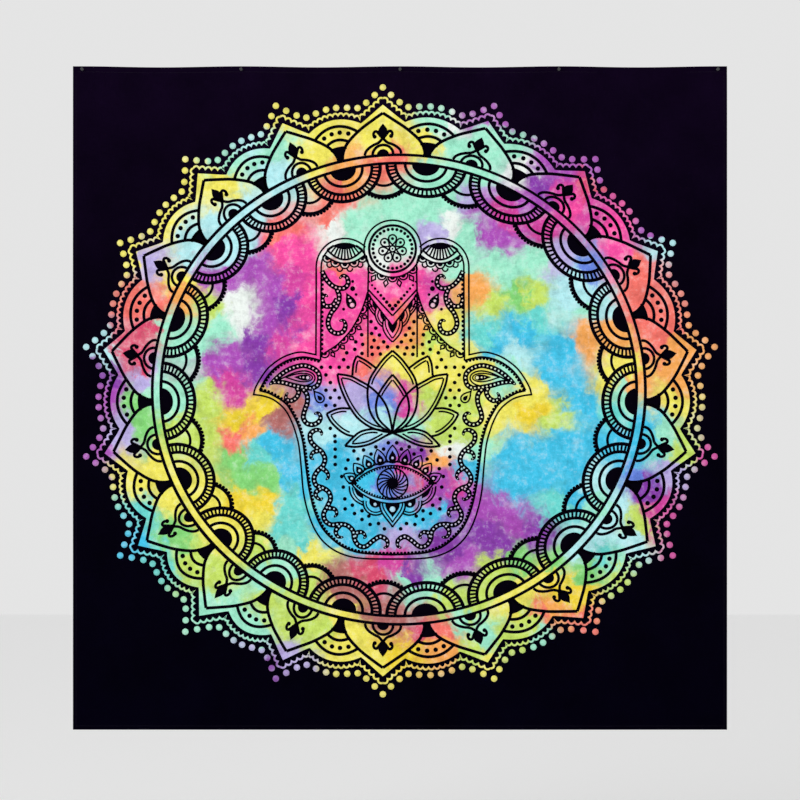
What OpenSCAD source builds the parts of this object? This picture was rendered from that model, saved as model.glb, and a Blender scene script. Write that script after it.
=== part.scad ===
// Wall tapestry: a hemmed square of printed cloth, pinned to the wall through its top hem.
// Frame: X to the right, Y into the wall, Z up. The wall is the plane y = 0 and the cloth's front
// looks along -Y. The origin is on the wall, on the line of the pins, at the middle of the width.

/* [Cloth] */
// Width of the hemmed cloth
cloth_w = 2100; // [1200:10:2600]
// Height of the hemmed cloth
cloth_h = 2130; // [1220:10:2660]
// Thickness of one layer of cloth
layer_t = 0.4; // [0.2:0.05:0.8]

/* [Hems] */
// Height of the top hem, which the pins go through
top_hem_h = 20; // [16:1:40]
// Width of the hems down the two sides
side_hem_w = 12; // [8:1:25]
// Height of the bottom hem
bottom_hem_h = 14; // [8:1:30]
// Layers that a hem adds behind the face: the turned allowance and its tucked-in raw edge
hem_layers = 2; // [1:1:3]

/* [Thread] */
// Thickness of the sewing thread, as it stands out of the face
thread_t = 0.25; // [0.15:0.05:0.4]
// Height of a thread row across the face
thread_w = 0.5; // [0.3:0.05:0.8]
// Distance from a hem's inner edge to its row of stitching
stitch_inset = 2; // [1.5:0.25:3]

/* [Push pins] */
// Distance from the cloth's side edge to the first pin
pin_inset = 30; // [20:1:80]
// Radius of the pin's steel needle
needle_r = 0.55; // [0.4:0.05:0.7]
// Length of the needle beyond the wall's face
needle_reach = 9; // [6:0.5:14]
// Length of the needle's sharpened point
needle_point = 2.5; // [1.5:0.25:4]
// Length of the needle held inside the grip
needle_root = 8; // [5:0.5:9]
// Radius of the grip's flange, next to the cloth
flange_r = 4.6; // [3.5:0.1:6]
// Thickness of the flange's rim
flange_t = 1.2; // [0.8:0.1:2]
// Radius of the grip's waist
waist_r = 2.7; // [2:0.1:3.2]
// Radius of the grip's cap
cap_r = 4.9; // [4:0.1:6]
// Thickness of the cap's rim
cap_t = 1.8; // [1:0.1:3]
// Length of the whole grip
grip_l = 12.5; // [11:0.5:18]

/* [Clearances] */
// Gap between the top hem and the hanging panel, where the cloth bends
fold_gap = 0.3; // [0.2:0.05:0.6]
// Gap between a grip's flange and the cloth
flange_gap = 0.3; // [0.2:0.05:0.6]
// Radial clearance of a needle in the hem
needle_clearance = 0.05; // [0.02:0.01:0.1]

/* [Hidden] */
$fn = 48;

// Depths, from the wall outwards
hem_t = hem_layers * layer_t;
face_y = -hem_t - layer_t;
flange_y = face_y - flange_gap;

// Heights, from the top of the cloth down
cloth_top = top_hem_h / 2;
fold_z = cloth_top - top_hem_h;
panel_top = fold_z - fold_gap;
cloth_bottom = cloth_top - cloth_h;
side_hem_bottom = cloth_bottom + bottom_hem_h;

// Rows of stitching
side_row_x = cloth_w / 2 - side_hem_w + stitch_inset;
top_row_z = fold_z + stitch_inset;
bottom_row_z = side_hem_bottom - stitch_inset;

// Push pins: each of the five has a needle and a grip of its own in NODES
pin_count = 5;
pin_pitch = (cloth_w - 2 * pin_inset) / (pin_count - 1);
rim_round = 0.5;
// Length of a grip's flare along its axis, for each millimetre that its radius grows
flare_slope = 0.6;

function pin_x(number) = (number - 1) * pin_pitch - cloth_w / 2 + pin_inset;

// A flat piece of cloth between two X, two Z and two Y values
module layer(x0, x1, z0, z1, y0, y1) {
    translate([x0, y0, z0]) cube([x1 - x0, y1 - y0, z1 - z0]);
}

// The holes that the needles make in the top hem
module needle_holes() {
    for (number = [1 : pin_count])
        translate([pin_x(number), face_y - 1, 0])
            rotate([-90, 0, 0])
                cylinder(r = needle_r + needle_clearance, h = hem_t + layer_t + 2);
}

module top_band() {
    color("midnightblue") difference() {
        layer(-cloth_w / 2, cloth_w / 2, fold_z, cloth_top, face_y, -hem_t);
        needle_holes();
    }
}

module top_hem() {
    color("midnightblue") difference() {
        layer(-cloth_w / 2, cloth_w / 2, fold_z, cloth_top, -hem_t, 0);
        needle_holes();
    }
}

module panel() {
    color("darkslateblue")
        layer(-cloth_w / 2, cloth_w / 2, cloth_bottom, panel_top, face_y, -hem_t);
}

// A side hem: side is -1 for the left one and 1 for the right one
module side_hem(side) {
    inner = side * (cloth_w / 2 - side_hem_w);
    outer = side * cloth_w / 2;
    color("midnightblue")
        layer(min(inner, outer), max(inner, outer), side_hem_bottom, panel_top, -hem_t, 0);
}

module left_hem() { side_hem(-1); }

module right_hem() { side_hem(1); }

module bottom_hem() {
    color("midnightblue")
        layer(-cloth_w / 2, cloth_w / 2, cloth_bottom, side_hem_bottom, -hem_t, 0);
}

// A level row of stitching at one height, running to the two side rows
module level_row(z) {
    color("black")
        layer(-side_row_x + thread_w, side_row_x - thread_w, z - thread_w / 2, z + thread_w / 2,
              face_y - thread_t, face_y);
}

// An upright row of stitching at one place across the width
module upright_row(x) {
    color("black")
        layer(x - thread_w / 2, x + thread_w / 2, cloth_bottom, panel_top,
              face_y - thread_t, face_y);
}

module top_stitching() { level_row(top_row_z); }

module bottom_stitching() { level_row(bottom_row_z); }

module left_stitching() { upright_row(-side_row_x); }

module right_stitching() { upright_row(side_row_x); }

// Places a pin's turned shape: its own +Z becomes +Y, into the wall, from the flange's face
module on_pin_axis(number) {
    translate([pin_x(number), flange_y, 0]) rotate([-90, 0, 0]) children();
}

// A steel needle: a straight shank that tapers to a point
module needle(number) {
    tip = needle_reach - flange_y;
    shoulder = tip - needle_point;
    point_r = needle_r / 8;
    color("silver") on_pin_axis(number)
        rotate_extrude()
            polygon([[0, -needle_root], [needle_r, -needle_root], [needle_r, shoulder],
                     [point_r, tip], [0, tip]]);
}

// A moulded grip: a flange, a waist that flares at both ends, and a cap with rounded rims
module grip(number) {
    waist_low = -flange_t - (flange_r - waist_r) * flare_slope;
    waist_high = -grip_l + cap_t + (cap_r - waist_r) * flare_slope;
    color("black") on_pin_axis(number)
        rotate_extrude()
            difference() {
                polygon([[0, -grip_l], [cap_r - rim_round, -grip_l], [cap_r, -grip_l + rim_round],
                         [cap_r, -grip_l + cap_t], [waist_r, waist_high], [waist_r, waist_low],
                         [flange_r, -flange_t], [flange_r, -rim_round / 2],
                         [flange_r - rim_round / 2, 0], [0, 0]]);
                translate([-1, -needle_root]) square([1 + needle_r, needle_root + 1]);
            }
}

top_band();
top_hem();
top_stitching();
panel();
left_hem();
right_hem();
bottom_hem();
left_stitching();
right_stitching();
bottom_stitching();
needle(1);  // pin_1_needle
grip(1);  // pin_1_grip
needle(2);  // pin_2_needle
grip(2);  // pin_2_grip
needle(3);  // pin_3_needle
grip(3);  // pin_3_grip
needle(4);  // pin_4_needle
grip(4);  // pin_4_grip
needle(5);  // pin_5_needle
grip(5);  // pin_5_grip
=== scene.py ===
"""A printed cloth tapestry pinned to a wall, built round its CAD frame. Metres; the wall is y = 0."""
import math
import bpy
import numpy as np
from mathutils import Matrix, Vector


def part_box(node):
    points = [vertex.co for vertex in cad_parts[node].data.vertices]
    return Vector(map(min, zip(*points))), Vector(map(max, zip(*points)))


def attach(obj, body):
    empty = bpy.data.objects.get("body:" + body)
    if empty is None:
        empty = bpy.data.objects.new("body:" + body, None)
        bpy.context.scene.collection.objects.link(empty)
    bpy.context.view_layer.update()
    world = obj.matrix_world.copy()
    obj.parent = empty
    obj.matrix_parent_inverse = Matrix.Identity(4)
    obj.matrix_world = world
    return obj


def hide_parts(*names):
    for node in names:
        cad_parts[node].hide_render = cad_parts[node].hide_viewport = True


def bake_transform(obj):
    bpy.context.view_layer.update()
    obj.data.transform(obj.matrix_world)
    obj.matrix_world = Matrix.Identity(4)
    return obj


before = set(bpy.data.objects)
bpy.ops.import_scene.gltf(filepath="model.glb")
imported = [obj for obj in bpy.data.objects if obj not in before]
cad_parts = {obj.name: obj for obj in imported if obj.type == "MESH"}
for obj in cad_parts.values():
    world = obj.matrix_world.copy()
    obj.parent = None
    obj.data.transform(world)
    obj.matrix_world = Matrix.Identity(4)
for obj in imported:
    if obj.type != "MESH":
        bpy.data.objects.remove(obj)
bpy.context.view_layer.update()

# ---- Studio -----------------------------------------------------------------------------------------
# A camera square-on to the cloth, a pale floor below its bottom edge, and a soft, even light from
# both sides, so that the dyes show at their own strength.
cloth_low, cloth_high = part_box("panel")[0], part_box("top_band")[1]
cloth_w = cloth_high.x - cloth_low.x
cloth_mid_z = (cloth_high.z + cloth_low.z) / 2

camera = bpy.data.objects.new("camera", bpy.data.cameras.new("camera"))
bpy.context.scene.collection.objects.link(camera)
camera_distance, camera_drop = 9.0, 0.0065
view_width = cloth_w * 1.2232
camera.data.lens = camera.data.sensor_width * camera_distance / view_width
camera.location = (0, -camera_distance, cloth_mid_z - camera_drop)
camera.rotation_euler = (math.pi / 2, 0, 0)
camera.data.clip_end = 60
bpy.context.scene.camera = camera
bpy.context.scene.view_settings.view_transform = "Standard"


def soft_light(name, place, aim, size, power):
    """A square area light at one place, turned to aim at a point."""
    lamp = bpy.data.lights.new(name, "AREA")
    lamp.size = size
    lamp.energy = power
    thing = bpy.data.objects.new(name, lamp)
    thing.location = place
    toward = np.array(aim) - np.array(place)
    level = math.hypot(toward[0], toward[1])
    thing.rotation_euler = (math.atan2(level, -toward[2]), 0, math.atan2(-toward[0], toward[1]))
    bpy.context.scene.collection.objects.link(thing)


soft_light("left_light", (-4.2, -5.0, 1.4), (0, 0, cloth_mid_z), 3.0, 130)
soft_light("right_light", (4.2, -5.0, 0.2), (0, 0, cloth_mid_z), 3.0, 50)

world = bpy.data.worlds.new("studio")
world.use_nodes = True
world.node_tree.nodes["Background"].inputs["Color"].default_value = (1.0, 1.0, 1.0, 1)
world.node_tree.nodes["Background"].inputs["Strength"].default_value = 0.78
bpy.context.scene.world = world


def new_paint(name):
    """A new material, its node tree, and its Principled shader."""
    paint = bpy.data.materials.new(name)
    paint.use_nodes = True
    return paint, paint.node_tree, paint.node_tree.nodes["Principled BSDF"]


floor_z = cloth_low.z - 0.55
floor_mesh = bpy.data.meshes.new("floor")
floor_mesh.from_pydata([(-14, -12, floor_z), (14, -12, floor_z), (14, 12, floor_z), (-14, 12, floor_z)],
                       [], [(0, 1, 2, 3)])
floor = bpy.data.objects.new("floor", floor_mesh)
bpy.context.scene.collection.objects.link(floor)
floor_paint, tree, shader = new_paint("floor_paint")
shader.inputs["Base Color"].default_value = (0.92, 0.92, 0.92, 1)
shader.inputs["Roughness"].default_value = 0.9
floor_mesh.materials.append(floor_paint)

# ---- How the cloth hangs ----------------------------------------------------------------------------
# Thin cotton, held only at the pins: it sags a little between them, and slack folds swing from pin to
# pin near the top. Lower down it lies almost flat, with a few broad, shallow waves.
pin_x = [(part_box(f"pin_{n}_grip")[0].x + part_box(f"pin_{n}_grip")[1].x) / 2 for n in range(1, 6)]
pin_pitch = pin_x[1] - pin_x[0]
face_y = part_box("panel")[0].y
layer_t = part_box("panel")[1].y - face_y
hem_t = -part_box("panel")[1].y
swag_folds = [  # from x, to x, height under the top edge at each end, lowest dip, how far it stands out
    (-0.89, 0.51, 0.012, 0.060, 0.055, 0.0030),
    (-1.02, 0.00, 0.030, 0.045, 0.085, 0.0016),
    (0.49, 1.06, 0.062, 0.085, 0.020, 0.0026),
    (-0.30, 0.52, 0.030, 0.052, 0.030, 0.0018),
]


def sag(x, z):
    """How far the cloth drops between its pins: a sine arch for each span, fading away below the top."""
    across = np.clip((x - pin_x[0]) / pin_pitch, 0, len(pin_x) - 1)
    arch = np.sin(math.pi * (across % 1)) ** 2
    deepest, fade = 0.0035, 0.12
    return deepest * arch * np.exp(-(cloth_high.z - z) / fade)


def bulge(x, z):
    """How far the cloth stands off the wall: broad crossed sine waves, and a rounded ridge along each
    swag, which is a parabola from pin to pin. The ridge's section is a Gaussian."""
    below = cloth_high.z - z
    # the stitched hem keeps the top edge flat, and the cloth is slack from 39 mm down
    slack = np.clip((below - 0.021) / 0.018, 0, 1)
    free = 1 - np.exp(-2 * slack * below / 0.1)
    waves = (0.0018 + 0.0012 * np.sin(2.9 * x + 0.8 * np.sin(1.7 * z) + 0.6)
             + 0.0007 * np.sin(6.1 * x - 1.3 * z + 2.0) + 0.0007 * np.sin(3.7 * z + 1.1 * x))
    out = np.maximum(waves, 0) * free
    ridge_wide = 0.011
    for x0, x1, left, right, dip, height in swag_folds:
        t = np.clip((x - x0) / (x1 - x0), 0, 1)
        line = left + (right - left) * t + dip * 4 * t * (1 - t)
        ends = np.sin(math.pi * t) ** 0.7
        out = out + height * ends * slack * np.exp(-((below - line) / ridge_wide) ** 2)
    return out


def hang(flat, stand_off):
    """Puts flat cloth places (x, z) on the hanging cloth, a given distance in front of its middle ply's
    front face. Returns an (n, 3) array."""
    x, z = flat[:, 0], flat[:, 1]
    y = face_y - stand_off - bulge(x, z)
    return np.column_stack([x, y, z - sag(x, z)])


def make_piece(name, places, triangles, flat, materials, face_material=None):
    """A mesh piece from arrays, with each point's place on the flat cloth kept as its attribute."""
    mesh = bpy.data.meshes.new(name)
    mesh.vertices.add(len(places))
    mesh.vertices.foreach_set("co", np.ascontiguousarray(places, np.float32).ravel())
    mesh.loops.add(triangles.size)
    mesh.loops.foreach_set("vertex_index", np.ascontiguousarray(triangles, np.int32).ravel())
    mesh.polygons.add(len(triangles))
    mesh.polygons.foreach_set("loop_start", np.arange(0, triangles.size, triangles.shape[1], dtype=np.int32))
    mesh.polygons.foreach_set("use_smooth", np.ones(len(triangles), bool))
    for material in materials:
        mesh.materials.append(material)
    if face_material is not None:
        mesh.polygons.foreach_set("material_index", np.ascontiguousarray(face_material, np.int32))
    mesh.update(calc_edges=True)
    mesh.validate()
    mark = mesh.attributes.new("flat", "FLOAT_VECTOR", "POINT")
    where = np.column_stack([flat[:, 0], np.zeros(len(flat)), flat[:, 1]])
    mark.data.foreach_set("vector", np.ascontiguousarray(where, np.float32).ravel())
    piece = bpy.data.objects.new(name, mesh)
    bpy.context.scene.collection.objects.link(piece)
    return piece


# ---- The screens' layout ----------------------------------------------------------------------------
# The design is a ring with eighteen petals, set out on a slightly oval circle. Hand stretching on the
# print table has let its right and left sides slip down and its top and bottom slip to the left.
petals = 18
sector = 2 * math.pi / petals
ring_x, ring_z = -0.004, cloth_mid_z + 0.027
half_wide, half_high = 1.024, 0.974
ring_share = 0.768  # the ring's outer edge, as a share of the way to the dot at a petal's tip


def print_place(share, turn):
    """Where a point of the design falls on the flat cloth. share is its distance from the middle, 1 at
    a petal's tip dot, and turn its angle from +X. The slip is resolved along and across the circle:
    along it everywhere, and across it only outside the ring."""
    share, turn = np.broadcast_arrays(np.asarray(share, float), np.asarray(turn, float))
    c, s = np.cos(turn), np.sin(turn)
    slip_x = 0.007 - 0.058 * s * s
    slip_z = -0.004 - (1 - s * s) * (0.036 - 0.039 * s)
    along = -slip_x * s + slip_z * c
    across = slip_x * c + slip_z * s
    along = along * np.minimum(share / ring_share, 1)
    across = across * np.clip((share - ring_share) / (1 - ring_share), 0, 1.3)
    x = ring_x + half_wide * share * c - along * s + across * c
    z = ring_z + half_high * share * s + along * c + across * s
    return np.stack([x, z], -1)


def petal_turn(number, degrees):
    """The angle of a line a few degrees clockwise of a petal's middle. Petal 0 points straight up."""
    return math.pi / 2 - number * sector - np.radians(degrees)


def border_edge(degrees):
    """The dyed area's edge: each petal's border rises in a hollow curve from where it crosses the arch
    to its point, and the arch between two petals is part of a circle. Shares at degrees 0 to 20."""
    d = np.abs((np.asarray(degrees, float) + 10) % 20 - 10)
    tip = 0.884 + 0.058 * (1 - d / 4.5).clip(0) ** 1.12
    arch = 0.908 - 0.024 * ((10 - d) / 5.5) ** 2
    return np.where(d < 4.5, tip, arch)


# ---- Dyes -------------------------------------------------------------------------------------------
# The white cloth was crumpled, and liquid dye was squeezed on it pour by pour before the black was
# printed. Each pour runs into its neighbours, so the borders are feathered.
dye_colours = {
    "lemon": (0.95, 0.91, 0.38), "gold": (0.95, 0.84, 0.22), "lime": (0.78, 0.89, 0.40),
    "green": (0.52, 0.84, 0.47), "mint": (0.62, 0.92, 0.80), "pale": (0.70, 0.92, 0.94),
    "aqua": (0.42, 0.85, 0.82), "sky": (0.26, 0.77, 0.92), "blue": (0.40, 0.52, 0.88),
    "violet": (0.68, 0.31, 0.73), "purple": (0.54, 0.24, 0.67), "magenta": (0.84, 0.27, 0.63),
    "pink": (0.98, 0.31, 0.65), "crimson": (0.86, 0.30, 0.44), "coral": (0.97, 0.46, 0.42),
    "orange": (0.98, 0.67, 0.35), "white": (0.92, 0.95, 0.93), "brown": (0.71, 0.43, 0.42),
    "lilac": (0.73, 0.68, 0.89),
}
pours = {  # for each dye, the pours of it: x and z from the ring's middle, in centimetres
    "lemon": [(-40, 88), (-25, 83), (-5, 92), (-5, 80), (8, 80), (-28, 74), (-57, 67), (-68, 68), (-76, 55),
              (-85, 44), (-70, 35), (-84, -30), (-72, -33), (-61, -38), (-78, -25), (-57, -46), (-45, -45),
              (0, 8), (9, 9), (16, 4), (25, 7), (15, 21), (36, -8), (28, -8), (43, -1), (75, 7), (68, 4),
              (-18, -72), (-12, -79), (-5, -90), (-18, -84), (36, -70), (42, -64), (48, -60), (30, -91),
              (-27, -53), (88, -4)],
    "gold": [(-53, -8), (-44, -6), (-43, -37), (-52, -35), (42, -7), (53, -63), (58, -69), (2, -86)],
    "lime": [(-62, 27), (-63, -5), (-62, -15), (-71, -12), (-66, -56), (-60, -61), (-46, -52), (-42, -66),
             (-33, -74), (-30, -62), (-24, -77), (10, -1), (11, 14), (30, 27), (44, 30), (21, -6), (50, -8),
             (23, -14), (16, -68), (25, -68), (22, -85), (35, -80), (31, -59), (72, -61), (42, -74),
             (90, -19), (78, -43), (15, -12)],
    "green": [(-81, -12), (-72, -46), (-49, -28), (-52, -22), (38, 30), (39, -55), (51, -55), (-42, -29),
              (-84, -4), (61, -60)],
    "mint": [(-55, 74), (-40, 75), (-68, 14), (-60, 19), (-74, 20), (-71, -3), (-78, 1), (-12, 55), (0, 56),
             (8, 58), (15, 61), (0, 47), (-14, 48), (22, 49), (30, 42), (36, 36), (41, 40), (20, 40),
             (28, 80), (38, 78), (22, 72), (10, 68), (26, 70), (12, 87), (19, 78), (-55, -72), (-62, -72),
             (-48, -78),
             (-45, -60), (-35, -56), (3, -62), (11, -62), (20, -75), (28, -80), (70, -56), (84, -14),
             (62, -38), (34, 4), (3, -12), (26, -20), (45, -80), (60, 28), (74, -2)],
    "pale": [(-50, 56), (-60, 51), (-66, 47), (-54, 44), (-38, 68), (56, 37), (61, 31), (66, 25), (55, 30),
             (-25, -12), (-15, -12), (-4, -13), (62, -28), (70, -38), (64, -46), (75, -50), (58, -50),
             (38, 11), (86, 49), (-95, 14), (-48, 82)],
    "aqua": [(-33, -38), (-34, -47), (-29, -51), (-83, -40), (-78, -55), (28, 17), (45, 22), (70, -8),
             (50, -38), (-44, -20), (82, -19), (66, -54)],
    "sky": [(-38, -18), (-35, -27), (-25, -28), (-20, -20), (-12, -29), (-15, -36), (-5, -40), (5, -42),
            (12, -40), (-22, -43), (-12, -47), (31, 14), (40, 18), (52, 13), (49, 5), (55, 0), (36, -22),
            (45, -20), (52, -17), (55, -25), (45, -28), (38, -29), (62, -17), (71, -13), (78, -12), (75, -21),
            (-86, -50), (60, -5), (55, -34), (22, -27)],
    "blue": [(-27, -4), (-6, -5), (-2, -25), (60, 39), (77, -29), (-4, -31)],
    "violet": [(-62, 38), (-55, 37), (-47, 38), (-39, 32), (-41, 21), (-55, 9), (-61, 7), (26, 60), (29, 52),
               (35, 50), (41, 61), (52, 73), (62, 72), (27, 88), (33, 88), (12, -33), (23, -38), (32, -37),
               (38, -42), (21, -55), (-95, -3), (-97, -20), (47, 74), (83, 52)],
    "purple": [(-35, 25), (-46, 15), (-46, 6), (46, 65), (5, -21), (15, -39), (26, -46), (15, -50), (31, -50),
               (44, -45), (5, -59), (81, -32), (-96, 5), (-42, -90)],
    "magenta": [(-37, 12), (-56, 2), (36, 57), (46, 52), (53, 64), (61, 55), (18, -33), (0, -57), (-5, -54),
                (3, -27), (83, -38), (87, -44), (88, -53), (10, 33), (2, -3), (64, 61), (99, -22), (-31, 35)],
    "pink": [(-30, 42), (-24, 37), (-15, 34), (-10, 28), (-18, 25), (0, 32), (4, 34), (-5, 19), (-20, 15),
             (-29, 14), (-22, 7), (55, 59), (70, 53), (71, 44), (-36, 45), (-26, 26)],
    "crimson": [(-88, 15), (-84, 10), (-79, 20), (62, 65), (8, -30), (6, -77), (-10, -60)],
    "coral": [(-38, 49), (-24, 55), (-18, 63), (-2, 73), (-20, 38), (0, 22), (-11, 7), (-5, 12), (-85, 28),
              (-77, 28), (78, 39), (75, 30), (79, 24), (85, 20), (83, 14), (47, -72), (59, -77), (12, -79),
              (-52, -15)],
    "orange": [(-15, 69), (4, 17), (24, 31), (22, 34), (91, 14), (90, 5), (62, 16), (69, 17), (12, -24),
               (14, -84), (50, -70), (-47, -13), (78, 2), (-70, 30)],
    "white": [(-52, 29), (-51, 23), (-20, 45), (-5, 42), (10, 43), (16, 53), (18, -20), (40, 71), (18, 86),
              (-22, 52)],
    "brown": [(-38, -10), (-33, -5), (-20, -62), (-15, -66), (-6, -70), (2, -74)],
    "lilac": [(-20, -3), (-12, -3), (0, -49), (52, 42), (24, 62), (-82, 5), (-88, -14), (-36, -88), (88, -28),
              (-78, 40), (10, 50), (-47, -85)],
}


def linear(colour):
    """A screen colour turned into the linear light values that shaders use."""
    return tuple(((c + 0.055) / 1.055) ** 2.4 if c > 0.04045 else c / 12.92 for c in colour)


def add(tree, kind, values=(), links=(), **settings):
    """A shader node with its settings, its plain input values and its links: (input, output socket)."""
    made = tree.nodes.new(kind)
    for name, setting in settings.items():
        setattr(made, name, setting)
    for socket, value in values:
        made.inputs[socket].default_value = value
    for socket, source in links:
        tree.links.new(source, made.inputs[socket])
    return made


def new_group(name, inputs, outputs):
    """An empty node group with named sockets. Returns the group and its input and output nodes."""
    tree = bpy.data.node_groups.new(name, "ShaderNodeTree")
    for label, kind in inputs:
        tree.interface.new_socket(label, in_out="INPUT", socket_type="NodeSocket" + kind)
    for label, kind in outputs:
        tree.interface.new_socket(label, in_out="OUTPUT", socket_type="NodeSocket" + kind)
    return tree, tree.nodes.new("NodeGroupInput"), tree.nodes.new("NodeGroupOutput")


def noise(tree, place, scale, detail, rough=0.5, distortion=0.0):
    """A node of cloudy noise."""
    return add(tree, "ShaderNodeTexNoise", [("Scale", scale), ("Detail", detail), ("Roughness", rough),
                                            ("Distortion", distortion)], [("Vector", place)])


def ranged(tree, value, from_min, from_max, to_min, to_max, **settings):
    """A value carried from one range to another, and held at its ends."""
    ends = [("From Min", from_min), ("From Max", from_max), ("To Min", to_min), ("To Max", to_max)]
    return add(tree, "ShaderNodeMapRange", ends, [("Value", value)], **settings).outputs[0]


def mixed(tree, share, first, second, blend_type="MIX"):
    """One colour with a share of another mixed in. Each of them is a plain value or an output socket."""
    made = add(tree, "ShaderNodeMix", data_type="RGBA", blend_type=blend_type)
    for place, value in ((0, share), (6, first), (7, second)):
        if isinstance(value, bpy.types.NodeSocket):
            tree.links.new(value, made.inputs[place])
        else:
            made.inputs[place].default_value = value
    return made.outputs[2]


dye_bath, bath_in, bath_out = new_group("dye_bath", [("Place", "Vector")], [("Colour", "Color")])


def shifted(place, scale, detail, amount):
    """A place pushed about by cloudy noise, as dye creeps along the crumples."""
    cloud = noise(dye_bath, place, scale, detail, 0.68)
    centred = add(dye_bath, "ShaderNodeVectorMath", [(1, (0.5, 0.5, 0.5))], [(0, cloud.outputs["Color"])],
                  operation="SUBTRACT")
    return add(dye_bath, "ShaderNodeVectorMath", [(1, (amount, 0, amount))],
               [(0, centred.outputs[0]), (2, place)], operation="MULTIPLY_ADD").outputs[0]


crept = shifted(shifted(bath_in.outputs["Place"], 4.5, 3.0, 0.15), 17.0, 12.0, 0.19)
pour_falloff = -4.4
colour_sum = weight_sum = None
for dye, places in pours.items():
    for x_cm, z_cm in places:
        centre = (ring_x + x_cm / 100, 0, ring_z + z_cm / 100)
        away = add(dye_bath, "ShaderNodeVectorMath", [(1, centre)], [(0, crept)], operation="DISTANCE")
        weight = add(dye_bath, "ShaderNodeMath", [(1, pour_falloff)], [(0, away.outputs["Value"])],
                     operation="POWER").outputs[0]
        tinted = add(dye_bath, "ShaderNodeVectorMath", [(0, linear(dye_colours[dye]))], [(3, weight)],
                     operation="SCALE").outputs[0]
        if colour_sum is None:
            colour_sum, weight_sum = tinted, weight
        else:
            colour_sum = add(dye_bath, "ShaderNodeVectorMath", (), [(0, tinted), (1, colour_sum)],
                             operation="ADD").outputs[0]
            weight_sum = add(dye_bath, "ShaderNodeMath", (), [(0, weight), (1, weight_sum)],
                             operation="ADD").outputs[0]
blended = add(dye_bath, "ShaderNodeVectorMath", (), [(0, colour_sum), (1, weight_sum)], operation="DIVIDE")
# where a crumple kept the dye out, the cloth stays paler, in ragged patches and in small flecks
shaded = blended.outputs[0]
for scale, rough, low, high, most in ((12.0, 0.68, 0.54, 0.74, 0.44), (44.0, 0.72, 0.53, 0.72, 0.36)):
    ragged = noise(dye_bath, bath_in.outputs["Place"], scale, 8.0, rough).outputs["Fac"]
    paler = ranged(dye_bath, ragged, low, high, 0.0, most)
    shaded = mixed(dye_bath, paler, shaded, (0.84, 0.89, 0.87, 1))
    # and where it pooled, the dye is a little deeper
    pooled = ranged(dye_bath, ragged, 0.27, 0.52, 0.68, 1.0)
    shaded = mixed(dye_bath, 1.0, shaded, pooled, "MULTIPLY")
dye_bath.links.new(shaded, bath_out.inputs["Colour"])

# ---- Woven cotton -----------------------------------------------------------------------------------
# Plain weave with uneven threads, still faintly creased from being folded for packing. The black is a
# flat screen print, which leaves the thread tops a little paler.
weave, weave_in, weave_out = new_group(
    "cotton_weave", [("Place", "Vector")], [("Height", "Float"), ("Slub", "Float")])
split = add(weave, "ShaderNodeSeparateXYZ", (), [(0, weave_in.outputs["Place"])])
thread_pitch = 0.0011
pack_folds_x = (-0.514, 0.010, 0.536)
pack_folds_z = (cloth_mid_z - 0.53, cloth_mid_z + 0.02, cloth_mid_z + 0.55)


def weave_math(operation, *inputs):
    """One Math node in the weave: each input is a number or an output socket."""
    made = weave.nodes.new("ShaderNodeMath")
    made.operation = operation
    for place, value in enumerate(inputs):
        if isinstance(value, (int, float)):
            made.inputs[place].default_value = value
        else:
            weave.links.new(value, made.inputs[place])
    return made.outputs[0]


over_under = weave_math(
    "MULTIPLY",
    weave_math("SINE", weave_math("MULTIPLY", split.outputs["X"], 2 * math.pi / thread_pitch)),
    weave_math("SINE", weave_math("MULTIPLY", split.outputs["Z"], 2 * math.pi / thread_pitch)))
slubs = []
for stretch in ((30, 1, 420), (420, 1, 30)):
    drawn = add(weave, "ShaderNodeVectorMath", [(1, stretch)], [(0, weave_in.outputs["Place"])],
                operation="MULTIPLY")
    slubs.append(noise(weave, drawn.outputs[0], 1.0, 2.0).outputs["Fac"])
slub = weave_math("MULTIPLY", weave_math("ADD", *slubs), 0.5)
rumple = noise(weave, weave_in.outputs["Place"], 7.0, 5.0, 0.55, 0.6).outputs["Fac"]
height = weave_math("ADD", weave_math("MULTIPLY", over_under, 0.05), weave_math("MULTIPLY", slub, 0.22))
height = weave_math("ADD", height, weave_math("MULTIPLY", rumple, 3.2))
for socket, folds in (("X", pack_folds_x), ("Z", pack_folds_z)):
    for fold in folds:
        off = weave_math("ABSOLUTE", weave_math("SUBTRACT", split.outputs[socket], fold))
        ridge = ranged(weave, off, 0.0, 0.006, 1.1, 0.0, interpolation_type="SMOOTHSTEP")
        height = weave_math("ADD", height, ridge)
weave.links.new(height, weave_out.inputs["Height"])
weave.links.new(slub, weave_out.inputs["Slub"])


def cloth_paint(name, roughness, specular, sheen, bump):
    """A cloth material: its Principled shader, with the weave's bump, and the nodes it starts from."""
    paint, tree, shader = new_paint(name)
    shader.inputs["Roughness"].default_value = roughness
    shader.inputs["Specular IOR Level"].default_value = specular
    shader.inputs["Sheen Weight"].default_value = sheen
    shader.inputs["Sheen Roughness"].default_value = 0.5
    place = add(tree, "ShaderNodeAttribute", attribute_name="flat").outputs["Vector"]
    woven = add(tree, "ShaderNodeGroup", (), (), node_tree=weave)
    tree.links.new(place, woven.inputs["Place"])
    raised = add(tree, "ShaderNodeBump", [("Strength", bump), ("Distance", 0.0012)],
                 [("Height", woven.outputs["Height"])])
    tree.links.new(raised.outputs["Normal"], shader.inputs["Normal"])
    return paint, tree, shader, place, woven


def dyed_colour(tree, place):
    """The dye's colour at a place on the flat cloth."""
    bath = add(tree, "ShaderNodeGroup", (), (), node_tree=dye_bath)
    tree.links.new(place, bath.inputs["Place"])
    return bath.outputs["Colour"]


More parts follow.
